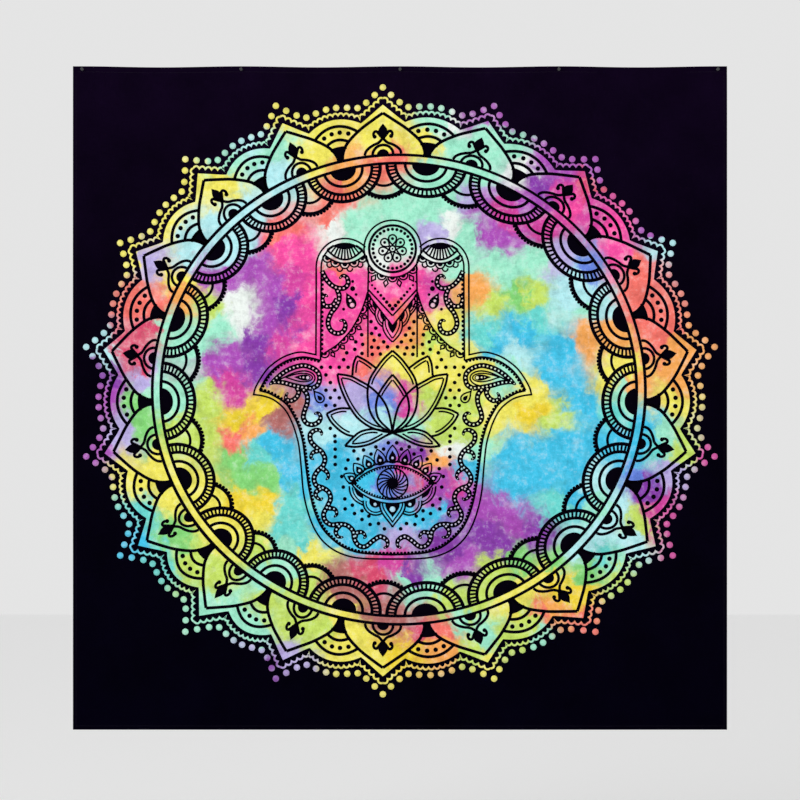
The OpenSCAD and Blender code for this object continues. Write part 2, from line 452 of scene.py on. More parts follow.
def slub_shade(tree, colour, woven, low, high):
    """A colour made lighter and darker along the uneven threads."""
    return mixed(tree, 1.0, colour, ranged(tree, woven.outputs["Slub"], 0.3, 0.7, low, high), "MULTIPLY")


dyed_face, tree, shader, place, woven = cloth_paint("dyed_face", 0.88, 0.04, 0.02, 0.5)
tree.links.new(slub_shade(tree, dyed_colour(tree, place), woven, 0.94, 1.05), shader.inputs["Base Color"])

ground_face, tree, shader, place, woven = cloth_paint("ground_face", 0.82, 0.004, 0.0, 0.9)
# the ground's colour runs from near black at the bottom to a paler purple at the top edge: painted light, as
# if more light fell on the cloth's upper part; the noise patches on it are its own uneven tone
height_split = add(tree, "ShaderNodeSeparateXYZ", (), [(0, place)])
up = ranged(tree, height_split.outputs["Z"], cloth_low.z, cloth_high.z, 0.0, 1.0)
painted_light_ramp = add(tree, "ShaderNodeValToRGB", (), [(0, up)])
painted_light_ramp.color_ramp.elements[0].color = (0.0009, 0.0005, 0.0036, 1)
painted_light_ramp.color_ramp.elements[1].color = (0.0040, 0.0013, 0.0084, 1)
painted_light_ramp.color_ramp.elements.new(0.5).color = (0.0013, 0.0006, 0.0036, 1)
patchy = ranged(tree, noise(tree, place, 5.0, 6.0, 0.6).outputs["Fac"], 0.3, 0.7, 0.75, 1.3)
ground = mixed(tree, 1.0, painted_light_ramp.outputs[0], patchy, "MULTIPLY")
tree.links.new(slub_shade(tree, ground, woven, 0.8, 1.2), shader.inputs["Base Color"])


def back_paint(name, veiled, veil):
    """The back of the cloth, where a veil of the cloth's own colour lies over the dye by some share."""
    paint, tree, shader, place, woven = cloth_paint(name, 0.9, 0.12, 0.04, 0.5)
    greyed = mixed(tree, veiled, dyed_colour(tree, place), veil)
    tree.links.new(slub_shade(tree, greyed, woven, 0.9, 1.08), shader.inputs["Base Color"])
    return paint


dyed_back = back_paint("dyed_back", 0.35, (0.62, 0.62, 0.64, 1))
ground_back = back_paint("ground_back", 0.965, (0.030, 0.022, 0.052, 1))

# ---- The cloth --------------------------------------------------------------------------------------
# One piece of cotton, from edge to edge. Its mesh runs outwards from the ring's middle, so that a row
# of its points follows the edge of the dyed area exactly, and on from there to the cloth's own edges.
sector_steps = 40
columns = petals * sector_steps
dyed_rows, ground_rows = 30, 24
fold_round = (layer_t + hem_t) / 2
half_cloth_w = cloth_w / 2 - fold_round
cloth_top_z, cloth_bottom_z = cloth_high.z - fold_round, cloth_low.z + fold_round
column_degrees = np.arange(columns) * 360 / columns
turns = petal_turn(0, column_degrees)
edge = print_place(border_edge(column_degrees % 20), turns)
centre = np.array([ring_x, ring_z])

# each column goes on straight from the middle to the cloth's edge, and the four nearest go to its corners
ray = edge - centre
reach_x = np.where(ray[:, 0] > 0, half_cloth_w - centre[0], half_cloth_w + centre[0]) / np.abs(ray[:, 0])
reach_z = np.where(ray[:, 1] > 0, cloth_top_z - centre[1], centre[1] - cloth_bottom_z) / np.abs(ray[:, 1])
rim = centre + ray * np.minimum(reach_x, reach_z)[:, None]
for corner in ((-half_cloth_w, cloth_top_z), (half_cloth_w, cloth_top_z),
               (half_cloth_w, cloth_bottom_z), (-half_cloth_w, cloth_bottom_z)):
    rim[np.argmin(np.hypot(*(rim - corner).T))] = corner

inner_share = np.linspace(0, 1, dyed_rows + 1)[1:]
dyed_places = print_place(inner_share[:, None] * border_edge(column_degrees % 20), turns)
outer_share = np.linspace(0, 1, ground_rows + 1)[1:, None, None]
ground_places = edge + (rim - edge) * outer_share
flat = np.concatenate([dyed_places, ground_places]).reshape(-1, 2)
flat = np.vstack([flat, print_place(0.0, 0.0)[None]])
rows = dyed_rows + ground_rows
here = (np.arange(rows - 1)[:, None] * columns + np.arange(columns)).ravel()
beside = (np.arange(rows - 1)[:, None] * columns + (np.arange(columns) + 1) % columns).ravel()
quads = np.column_stack([here, beside, beside + columns, here + columns])
sheet_triangles = np.vstack([quads[:, :3], quads[:, [0, 2, 3]]])
hub = len(flat) - 1
first_row = np.arange(columns)
sheet_triangles = np.vstack([sheet_triangles,
                             np.column_stack([np.full(columns, hub), (first_row + 1) % columns, first_row])])


def facing_front(triangles, flat_points):
    """The triangles, each turned so that it runs anticlockwise as seen from the front. One with no area
    is left out."""
    a, b, c = (flat_points[triangles[:, k]] for k in range(3))
    area = (b[:, 0] - a[:, 0]) * (c[:, 1] - a[:, 1]) - (b[:, 1] - a[:, 1]) * (c[:, 0] - a[:, 0])
    turned = np.where((area < 0)[:, None], triangles[:, ::-1], triangles)
    return turned[np.abs(area) > 1e-12]


sheet_triangles = facing_front(sheet_triangles, flat)
count = len(flat)
last_row = (rows - 1) * columns + np.arange(columns)
next_last = (rows - 1) * columns + (np.arange(columns) + 1) % columns
side_quads = np.column_stack([last_row, next_last, next_last + count, last_row + count])
side_triangles = np.vstack([side_quads[:, :3], side_quads[:, [0, 2, 3]]])
is_dyed = sheet_triangles.min(1) < (dyed_rows - 1) * columns
is_dyed |= sheet_triangles.max(1) == hub
all_triangles = np.vstack([sheet_triangles, sheet_triangles[:, ::-1] + count, side_triangles])
face_kind = np.concatenate([np.where(is_dyed, 0, 1), np.where(is_dyed, 2, 3),
                            np.full(len(side_triangles), 3)])
cloth = make_piece("tapestry_cloth", np.vstack([hang(flat, 0), hang(flat, -layer_t)]), all_triangles,
                   np.vstack([flat, flat]), [dyed_face, ground_face, dyed_back, ground_back], face_kind)
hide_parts("panel", "top_band")
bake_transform(cloth)

# ---- Printing ink -----------------------------------------------------------------------------------
# Black pigment pushed through a screen: a thin film that lies on the cloth, dull, and a little broken
# where the thread tops show through. Every film here is its own mesh, laid on the hanging cloth.
ink_film, film_lift = 0.00018, 0.00030


def through(points, steps=8):
    """A smooth line through points: a Catmull-Rom cubic between each two of them."""
    p = np.asarray(points, float)
    ends = np.vstack([2 * p[0] - p[1], p, 2 * p[-1] - p[-2]])
    a, b, c, d = ends[:-3], ends[1:-2], ends[2:-1], ends[3:]
    t = (np.arange(steps) / steps)[:, None, None]
    curve = b + ((c - a) * t + (2 * a - 5 * b + 4 * c - d) * t ** 2 + (3 * b - a - 3 * c + d) * t ** 3) / 2
    return np.vstack([curve.transpose(1, 0, 2).reshape(-1, 2), p[-1:]])


def arc(centre, radius, start, end, steps=24):
    """Part of a circle, between two angles in degrees."""
    turn = np.radians(np.linspace(start, end, steps + 1))
    return np.column_stack([centre[0] + radius * np.cos(turn), centre[1] + radius * np.sin(turn)])


def side_of(line, closed=False):
    """For each point of a line, the unit vector to its left, and how much a mitred corner stretches."""
    ahead, behind = np.roll(line, -1, 0) - line, line - np.roll(line, 1, 0)
    if not closed:
        ahead[-1], behind[0] = behind[-1], ahead[0]
    ahead, behind = (v / np.maximum(np.hypot(*v.T), 1e-9)[:, None] for v in (ahead, behind))
    mean = ahead + behind
    mean = mean / np.maximum(np.hypot(*mean.T), 1e-9)[:, None]
    return np.column_stack([-mean[:, 1], mean[:, 0]]), 1 / np.clip((mean * behind).sum(1), 0.4, 1)


def shifted_line(line, gap):
    """The line moved to its left by a gap."""
    side, mitre = side_of(line)
    return line + side * (gap * mitre)[:, None]


def between(left, right):
    """The surface between two lines with the same number of points."""
    here = np.arange(len(left) - 1)
    there = here + len(left)
    return np.vstack([left, right]), np.vstack([np.column_stack([here, here + 1, there + 1]),
                                                np.column_stack([here, there + 1, there])])


squeeze = 1.23  # how much wider a line prints than it is drawn, as ink squeezes out under the screen


def ribbon(line, width, closed=False):
    """A drawn line: the surface between the line's two edges, each half the printed width to its side.
    The width is a number, or one for each point."""
    line = np.asarray(line, float)
    if closed:
        line = np.vstack([line, line[:1]])
    side, mitre = side_of(line[:-1] if closed else line, closed)
    if closed:
        side, mitre = np.vstack([side, side[:1]]), np.append(mitre, mitre[:1])
    half = (np.asarray(width) / 2 * squeeze * mitre)[:, None] * side
    return between(line + half, line - half)


def dots(centres, radius, sides=12):
    """Round dots: each a fan of triangles over a regular polygon. One radius, or one for each dot."""
    centres = np.asarray(centres, float).reshape(-1, 2)
    turn = np.arange(sides) * 2 * math.pi / sides
    spoke = np.column_stack([np.cos(turn), np.sin(turn)])
    size = np.broadcast_to(np.asarray(radius, float), len(centres))
    places = centres[:, None] + size[:, None, None] * spoke
    fan = np.column_stack([np.zeros(sides - 2, int), np.arange(1, sides - 1), np.arange(2, sides)])
    triangles = fan[None] + np.arange(len(centres))[:, None, None] * sides
    return places.reshape(-1, 2), triangles.reshape(-1, 3)


def spaced(line, pitch):
    """Points at equal distances along a line, how far along each one is, and the unit vectors to its left."""
    run = np.append(0, np.cumsum(np.hypot(*np.diff(line, axis=0).T)))
    count = max(round(run[-1] / pitch), 1)
    along = (np.arange(count) + 0.5) * run[-1] / count
    side = side_of(line)[0]
    places, sides = (np.column_stack([np.interp(along, run, v[:, k]) for k in (0, 1)]) for v in (line, side))
    return places, along, sides


def toothed(line, pitch, radius, inset):
    """A row of small round teeth along one side of a line."""
    places, _, sides = spaced(line, pitch)
    return dots(places + sides * inset, radius, 8)


def leaf(tip, end, half_width, fullest, point=1.25, steps=14):
    """A leaf's two edges, from its tip: its half-width is a power of a sine up to the fullest place, and
    an ellipse's from there to its round end. A point power over 1 draws the tip out."""
    tip, end = np.asarray(tip, float), np.asarray(end, float)
    quarter = np.linspace(0, math.pi / 2, steps + 1)
    s = np.concatenate([(1 - np.cos(quarter)) * fullest, fullest + np.sin(quarter)[1:] * (1 - fullest)])
    growing = np.sin(math.pi / 2 * np.minimum(s / fullest, 1)) ** point
    closing = np.sqrt(np.maximum(1 - (np.maximum(s - fullest, 0) / (1 - fullest)) ** 2, 0))
    wide = half_width * growing * closing
    axis = end - tip
    across = np.array([-axis[1], axis[0]]) / np.hypot(*axis)
    middle = tip + s[:, None] * axis
    return middle + wide[:, None] * across, middle - wide[:, None] * across


def leaf_line(*shape, width):
    """The outline of a leaf."""
    left, right = leaf(*shape)
    return ribbon(np.vstack([left, right[-2:0:-1]]), width, closed=True)


def stretches(line, keep):
    """The parts of a line where keep holds, each as a line of its own."""
    places = np.flatnonzero(keep)
    parts = np.split(places, np.flatnonzero(np.diff(places) > 1) + 1)
    return [line[part] for part in parts if len(part) > 2]


def mirrored(shapes):
    """The shapes, and the mirror images about x = 0 of those that don't lie evenly across that line."""
    return shapes + [(places * (-1, 1), triangles) for places, triangles in shapes
                     if abs(places[:, 0].mean()) > 1e-6]


def merged(shapes):
    """Several shapes as one set of points and triangles. Points that fall together become one point, so
    a line that runs round to its start is closed there."""
    starts = np.cumsum([0] + [len(places) for places, _ in shapes[:-1]])
    places = np.vstack([places for places, _ in shapes])
    triangles = np.vstack([triangles + start for (_, triangles), start in zip(shapes, starts)])
    _, first, same = np.unique(np.round(places, 7), axis=0, return_index=True, return_inverse=True)
    return places[first], same.ravel()[triangles]


def press(name, shapes, paint, lift=film_lift):
    """One screen's print: its shapes, laid on the cloth as a film that rides on the panel."""
    places, triangles = merged(shapes)
    film = make_piece(name, hang(places, lift), facing_front(triangles, places), places, [paint])
    thick = film.modifiers.new("film", "SOLIDIFY")
    thick.thickness = ink_film
    thick.offset = -1
    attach(film, "panel")


black_ink, tree, shader, place, woven = cloth_paint("black_ink", 0.8, 0.004, 0.0, 0.6)
worn_thin = ranged(tree, noise(tree, place, 90.0, 5.0, 0.7).outputs["Fac"], 0.62, 0.8, 0.0, 0.16)
inked = mixed(tree, worn_thin, (0.0016, 0.0008, 0.0036, 1), (0.045, 0.035, 0.055, 1))
tree.links.new(slub_shade(tree, inked, woven, 0.8, 1.2), shader.inputs["Base Color"])

# ---- The ring ---------------------------------------------------------------------------------------
# Two black lines with a dyed band left between them, printed all the way round.


def round_line(inner, outer, steps=720):
    """A closed black line between two shares of the design's size."""
    turn = np.linspace(0, 2 * math.pi, steps + 1)
    return between(print_place(inner, turn), print_place(outer, turn))


ring_outer, ring_inner = 0.7768, 0.7398
press("ring_print", [round_line(0.7672, ring_outer), round_line(ring_inner, 0.7495)], black_ink)

# ---- Petals -----------------------------------------------------------------------------------------
# Eighteen petals stand on the ring, each with a lily on a small mound. Between two petals an arch
# holds four dots, a shorter arch, and a black wedge.


def design_place(number, degrees, share, across=0.0, out=0.0):
    """A place near a petal: from the point at an angle and share, some metres clockwise and outwards."""
    turn = petal_turn(number, np.asarray(degrees, float))
    x = (share + out) * np.cos(turn) + across * np.sin(turn)
    y = (share + out) * np.sin(turn) - across * np.cos(turn)
    return print_place(np.hypot(x, y), np.arctan2(y, x))


petal_side = through([(9.45, 0.770), (9.3, 0.790), (8.0, 0.823), (5.0, 0.861), (2.4, 0.888), (0, 0.914)])
petal_line, fine_line, curl_line = 0.0080, 0.0073, 0.0070
# the curl, the ogee under it and the spade stand on the ring, and are drawn in millimetres from there
curl = through([(1, 50), (4, 57), (9, 63), (14, 70), (19, 75.5), (25, 75.5), (29, 70), (29, 63),
                (26, 58)]) / 1000
ogee = through([(1, 53), (5, 47), (14, 38), (29, 31), (43, 22), (53, 11), (57, -2)]) / 1000
spade = [edge / 1000 for edge in leaf((0, 103), (0, 60), 14.5, 0.62)]


def petal_shapes(number):
    """The ink of one petal and of the arch that follows it clockwise."""
    def at(line):
        return design_place(number, line[:, 0], line[:, 1])

    def near(line):
        return design_place(number, 0, ring_outer, line[:, 0], line[:, 1])

    shapes = []
    for side in (1, -1):
        shapes += [ribbon(at(petal_side * (side, 1)), petal_line)]
        shapes += [ribbon(near(curl * (side, 1)), np.linspace(petal_line, curl_line, len(curl)))]
        shapes += [ribbon(near(ogee * (side, 1)), fine_line)]
        shapes += [dots(near(np.array([[side * 0.0258, 0.059]])), 0.0068)]
    shapes += [between(near(spade[0]), near(spade[1])), dots(near(np.array([[0, 0.056]])), 0.0052)]
    shapes += [ribbon(near(arc((0, -0.002), 0.032, 0, 180)), fine_line)]
    mound = arc((0, -0.003), 0.019, 0, 180)
    shapes += [between(near(mound), near(np.column_stack([mound[:, 0], np.full(len(mound), -0.004)])))]

    over = np.linspace(-4.8, 4.8, 25)
    shapes += [ribbon(at(np.column_stack([10 + over, 0.886 - 0.00126 * over ** 2])), petal_line)]
    over = np.array([-2.65, -0.88, 0.88, 2.65])
    shapes += [dots(at(np.column_stack([10 + over, 0.8655 - 0.00126 * over ** 2])), 0.0076)]
    over = np.linspace(-2.4, 2.4, 17)
    shapes += [ribbon(at(np.column_stack([10 + over, 0.842 - 0.0019 * over ** 2])), petal_line)]
    share = np.linspace(0.770, 0.8155, 12)
    foot = petal_side[petal_side[:, 1] < 0.83]
    left = np.interp(share, foot[:, 1], foot[:, 0])
    shapes += [between(at(np.column_stack([left, share])), at(np.column_stack([20 - left, share])))]
    over = np.linspace(-1.9, 1.9, 13)
    shapes += [ribbon(at(np.column_stack([10 + over, 0.8155 - 0.0009 * over ** 2])), fine_line)]
    return shapes


press("petal_print", [shape for n in range(petals) for shape in petal_shapes(n)], black_ink)

# ---- Medallions and lace ----------------------------------------------------------------------------
# Half medallions hang inside the ring, below the arches, each edged with a ladder of short rungs. A
# bit of lace shows between each two of them.
medallion_share, medallion_wide = 0.745, 1.13
medallion_edge, lace_share = 0.109, 0.722


def half_oval(radius, steps=64):
    """The inner half of a medallion's oval, as offsets from its middle, ending under the ring's line."""
    turn = np.linspace(-math.pi, 0, steps + 1)
    line = np.column_stack([medallion_wide * radius * np.cos(turn), radius * np.sin(turn)])
    return line[np.hypot(line[:, 0], medallion_share + line[:, 1]) < ring_inner + 0.005]


def medallion_shapes(number):
    """The ink of one medallion and of the lace before it."""
    def near(line, degrees=10, share=medallion_share):
        return design_place(number, degrees, share, line[:, 0], line[:, 1])

    shapes = [ribbon(near(half_oval(radius)), width) for radius, width in
              ((0.1055, 0.0090), (0.0822, 0.0080), (0.0555, 0.0078))]
    disc = half_oval(0.0373)
    level = np.full(len(disc), -0.0025) - disc[:, 0] ** 2 / 1.5
    shapes += [between(near(disc), near(np.column_stack([disc[:, 0], level])))]
    rung_from, rung_to = 0.084, 0.104
    for turn in np.radians(np.linspace(-176, -4, 25)):
        rung = np.outer([rung_from, rung_to], [medallion_wide * math.cos(turn), math.sin(turn)])
        if np.hypot(rung[1, 0], medallion_share + rung[1, 1]) < ring_inner + 0.004:
            shapes += [ribbon(near(rung), 0.0055)]

    turn = np.linspace(-math.pi, 0, 73)
    for radius, width in ((0.085, 0.0082), (0.050, 0.0070)):
        line = radius * np.column_stack([np.cos(turn), np.sin(turn)])
        x, y = line[:, 0], lace_share + line[:, 1]
        hidden = np.zeros(len(line), bool)
        for side in (1, -1):
            middle = medallion_share * np.array([math.sin(side * sector / 2), math.cos(sector / 2)])
            along = (x - middle[0]) * math.cos(sector / 2) - side * (y - middle[1]) * math.sin(sector / 2)
            up = (x - middle[0]) * side * math.sin(sector / 2) + (y - middle[1]) * math.cos(sector / 2)
            hidden |= np.hypot(along / medallion_wide, up) < medallion_edge - 0.003
        for part in stretches(line, ~hidden & (np.hypot(x, y) < ring_inner)):
            shapes += [ribbon(near(part, 0, lace_share), width)]
            if radius > 0.08:
                shapes += [toothed(near(part, 0, lace_share), 0.0108, 0.0058, -0.0062)]
    return shapes


press("medallion_print", [shape for n in range(petals) for shape in medallion_shapes(n)],
      black_ink)

# ---- Scalloped line and outer dots ------------------------------------------------------------------
# Outside the black border the screen leaves a scalloped line and a row of dots unprinted, so that the
# dye under them shows.
scallop_base = through([(0, 0.9635), (2.6, 0.9255), (4.65, 0.9005)])
over = np.linspace(-5.35, 5.35, 41)
scallop_arch = np.column_stack([10 + over, 0.9215 - 0.00074 * over ** 2])


def scalloped(line, number, bumps, height, steps=8):
    """A line of round scallops: equal steps along a line, pushed out from it by the size of a sine."""
    base = design_place(number, line[:, 0], line[:, 1])
    run = np.append(0, np.cumsum(np.hypot(*np.diff(base, axis=0).T)))
    along = np.linspace(0, 1, bumps * steps + 1)
    evenly = np.column_stack([np.interp(along * run[-1], run, base[:, k]) for k in (0, 1)])
    return shifted_line(evenly, height * np.abs(np.sin(math.pi * bumps * along)) ** 0.8)


def scallop_shapes(number):
    """The scalloped line over one petal and one arch."""
    line = np.vstack([scalloped(scallop_base, number, 5, 0.0072)[:-1],
                      scalloped(scallop_arch, number, 10, 0.0066)[:-1],
                      scalloped((scallop_base * (-1, 1))[::-1] + (20, 0), number, 5, 0.0072)])
    return ribbon(line, 0.0050)


dye_line, tree, shader, place, woven = cloth_paint("dye_line", 0.88, 0.04, 0.02, 0.5)
lit = mixed(tree, 0.05, dyed_colour(tree, place), (0.95, 0.97, 0.93, 1))
tree.links.new(slub_shade(tree, lit, woven, 0.92, 1.05), shader.inputs["Base Color"])
press("scalloped_line", [scallop_shapes(n) for n in range(petals)], dye_line)

dot_places = [(0, 1.0), (1.5, 0.975), (3.15, 0.951), (4.87, 0.936), (6.9, 0.941), (9.0, 0.946), (11, 0.946),
              (13.1, 0.941), (15.1, 0.936), (16.85, 0.951), (18.5, 0.975)]
press("outer_dots", [dots(design_place(n, *np.array(dot_places).T), 0.0103, 20) for n in range(petals)],
      dye_line)

# ---- The hand's outline -----------------------------------------------------------------------------
# An open hand stands in the ring, the same on both sides. It is drawn in centimetres from the middle
# of the eye in its palm: a thin outer line, and inside it a line with a row of small teeth.
palm = np.array([-0.024, cloth_mid_z - 0.274])
hand_line, tooth = 0.46, 0.50


def print_hand(name, shapes, paint=black_ink, lift=film_lift):
    """Prints shapes given in centimetres from the palm's middle, and their mirror images."""
    press(name, [(palm + places / 100, triangles) for places, triangles in mirrored(shapes)],
          paint, lift)


finger = (15.3, 69.4)
outside = np.vstack([
    arc(finger, 9.2, 136, 0), [(24.5, 60), (24.6, 41.3)],
    through([(24.6, 41.3), (29.2, 42.1), (32.6, 41.5), (36, 40), (39.7, 37.2), (42.1, 34.1), (43.95, 30.8),
             (44.6, 28.5)])[1:],
    through([(44.6, 28.5), (41.8, 28.1), (38.7, 27.1), (36, 25.2), (34.1, 23.1), (32.6, 20.3), (31.4, 17.2),
             (30.1, 12.3), (29.3, 5), (28.6, -2.8), (27.1, -9.4), (24.9, -14.9), (21.9, -19),
             (17.9, -21.9), (13.1, -23.6), (7.6, -24.2), (0, -24.3)])[1:]])
thumb_top = through([(23.1, 39.4), (25.8, 40.1), (28.9, 40.5), (32.6, 39.8), (35.65, 38.4), (38.4, 36.3),
                     (40.7, 33.5), (42.7, 29.8)])
body_side = through([(42.7, 29.8), (39.96, 29.07), (36.9, 27.5), (34.1, 25.5), (32.3, 22.8), (30.7, 19.7),
                     (29.5, 16.3), (28.6, 12.3), (27.7, 5), (26.7, -2), (25.2, -8.3), (23, -13.5),
                     (20.1, -17.1), (16, -20.3), (11.2, -22.1), (5.7, -22.7), (0, -22.9)])
finger_inside = np.vstack([[(7.9, 40.5), (7.9, 61)], arc(finger, 7.6, 180, 0, 40),
                           [(22.9, 60), (23.1, 39.4)]])
finger_foot = through([(8.0, 61.3), (9.0, 57.9), (10.7, 53.8), (13.4, 49.1), (17.5, 44.7), (20.9, 42.4),
                       (23.3, 40.7)])
print_hand("hand_outline", [
    ribbon(outside, hand_line), ribbon(thumb_top, 0.55), ribbon(body_side, 0.55),
    ribbon(finger_inside, hand_line), ribbon(finger_foot, hand_line),
    toothed(thumb_top, 1.15, tooth, -0.42), toothed(body_side, 1.15, tooth, -0.42),
    toothed(np.array([(22.9, 66), (23.1, 41)]), 1.5, 0.52, -0.42)])

# ---- Finger tips ------------------------------------------------------------------------------------
# Each side finger has a striped nail under a dark crescent, with a lace of half rings below it, and more
# half rings along the curved line at its foot.


def half_ring(centre, radius, core, facing):
    """A half ring with a solid middle, open towards the line that it hangs on."""
    disc = arc(centre, core, facing - 90, facing + 90, 11)
    return [ribbon(arc(centre, radius, facing - 90, facing + 90, 14), 0.42), between(disc[:6], disc[:5:-1])]


def diamond(centre, facing, length=1.9, wide=1.4):
    """A small upright diamond, drawn round its edge."""
    turn = math.radians(facing)
    out, across = np.array([math.cos(turn), math.sin(turn)]), np.array([-math.sin(turn), math.cos(turn)])
    corners = [out * length / 2, across * wide / 2, -out * length / 2, -across * wide / 2]
    return ribbon(np.array(centre) + corners, 0.40, closed=True)


def cup(half_wide, end_z, low_z, steps=24):
    """A shallow parabola under the finger's nail, from one side of it to the other."""
    t = np.linspace(-1, 1, steps + 1)
    return np.column_stack([finger[0] + half_wide * t, low_z + (end_z - low_z) * t ** 2])


crescent_half, stripes = 3.6, 10
crescent_top = arc(finger, 7.6, 90 + 28, 90 - 28)
crescent_low = cup(crescent_half, crescent_top[0, 1], 75.1)
tips = [between(crescent_top, crescent_low), ribbon(cup(5.7, 75.0, 71.8), 0.52),
        ribbon(cup(6.6, 73.4, 70.6), 0.50)]
for t in np.linspace(-1, 1, stripes + 1):
    start = (finger[0] + crescent_half * t, 75.1 + 1.3 * t * t)
    stop = (finger[0] + 5.7 * t, 71.8 + 3.2 * t * t)
    tips.append(ribbon(np.array([start, stop]), 0.46))
for across, z, facing in ((-5.6, 72.4, -122), (-3.0, 70.9, -105), (0, 70.4, -90), (3.0, 70.9, -75),
                          (5.6, 72.4, -58)):
    tips += half_ring((finger[0] + across, z), 1.45, 0.8, facing)
for across, z, facing in ((-4.9, 70.2, -115), (-1.6, 68.9, -95), (1.6, 68.9, -85), (4.9, 70.2, -65)):
    tips.append(ribbon(arc((finger[0] + across, z), 0.85, facing - 95, facing + 95, 10), 0.42))
places, _, sides = spaced(finger_foot, 3.55)
for place_here, side in zip(places, sides):
    facing = math.degrees(math.atan2(*-side[::-1]))
    tips += half_ring(place_here, 1.45, 0.75, facing)
for place_here, side in zip((places[1:] + places[:-1]) / 2, (sides[1:] + sides[:-1]) / 2):
    tips.append(diamond(place_here - 1.75 * side, math.degrees(math.atan2(*side[::-1]))))
print_hand("finger_tips", tips)

# ---- Middle finger ----------------------------------------------------------------------------------
# A round flower sits at its tip, with a collar of half rings under it, then a V of two lines and a row of
# beads, and a pointed pendant between half petals.
knuckle = np.array([0, 75.3])
flower_petals = 7
middle = [ribbon(arc(knuckle, 9.15, 90, -90, 40), hand_line), ribbon(arc(knuckle, 7.5, 90, -90, 40), 0.66),
          ribbon(arc(knuckle, 1.0, 90, -90, 16), 0.46), dots(knuckle, 0.30)]
ring_beads = arc(knuckle, 6.3, 90, -270, 28)[:15]
middle += [dots(some, 0.54) for some in (ring_beads[0], ring_beads[1:-1], ring_beads[-1])]
for number in range(flower_petals // 2 + 1):
    turn = math.radians(90 - number * 360 / flower_petals)
    out = np.array([math.cos(turn), math.sin(turn)])
    middle.append(leaf_line(knuckle + 1.35 * out, knuckle + 4.5 * out, 1.25, 0.62, 0.85, width=0.42))
    middle.append(dots(knuckle + 3.25 * out, 0.50))
for degrees in (-90, -68, -45):
    out = np.array([math.cos(math.radians(degrees)), math.sin(math.radians(degrees))])
    middle += half_ring(knuckle + 9.15 * out, 1.45, 0.85, degrees)
for degrees in (-79, -57):
    out = np.array([math.cos(math.radians(degrees)), math.sin(math.radians(degrees))])
    middle.append(diamond(knuckle + 11.2 * out, degrees, 2.4, 1.5))


def chevron(x):
    """The V's lower line."""
    return 50.5 + 1.2875 * np.abs(x)


for line in ([(0, 53.8), (8, 62.4)], [(0, 50.5), (7.9, chevron(7.9))]):
    middle.append(ribbon(np.array(line), 0.46))
string = np.linspace(0, 1, 9)[:, None]
string_beads, bead_sizes = (0, 56.0) + string * np.array([7.5, 8.7]), 0.68 - 0.34 * string[:, 0]
middle += [dots(string_beads[:1], bead_sizes[:1]), dots(string_beads[1:], bead_sizes[1:])]
for tip_z, half, width in ((45.4, 3.15, 0.44), (46.6, 2.35, 0.36)):
    edge_line = leaf((0, tip_z), (0, tip_z + 10.5), half, 0.5, 0.85)[1]
    for part in stretches(edge_line, edge_line[:, 1] < chevron(edge_line[:, 0]) + 0.1):
        middle.append(ribbon(part, width))
core_edge = leaf((0, 48.2), (0, 55.2), 1.55, 0.5, 0.85)[1]
core_edge = core_edge[core_edge[:, 1] < chevron(core_edge[:, 0])]
middle.append(between(core_edge, np.column_stack([core_edge[:, 0], chevron(core_edge[:, 0])])))
# two scales on each side of the pendant, each with a line inside it and a solid heart
for points, width in (([(5.05, 56.9), (5.6, 54.3), (4.75, 51.8), (3.35, 50.3)], 0.44),
                      ([(4.2, 55.8), (4.75, 53.9), (4.15, 52.2), (3.15, 51.2)], 0.36),
                      ([(7.75, 60.4), (7.95, 58.3), (7.35, 56.1), (5.5, 53.7)], 0.44),
                      ([(7.1, 59.5), (7.2, 57.9), (6.6, 56.2), (5.6, 55.0)], 0.36)):
    middle.append(ribbon(through(points), width))
for points in ([(3.7, 55.2), (3.95, 54.0), (3.35, 52.6), (2.5, 51.9)],
               [(6.3, 58.5), (6.45, 57.4), (5.9, 56.1), (5.15, 55.4)]):
    heart = through(points)
    middle.append(between(heart, np.column_stack([heart[:, 0], chevron(heart[:, 0])])))
print_hand("middle_finger", middle)

# ---- Scrolls and drops ------------------------------------------------------------------------------
# Black bands that curl like vine tendrils, each with a row of bare beads along its middle, where the dye
# shows through the screen.
scroll_wide, bead_radius, bead_pitch = 1.40, 0.31, 1.28
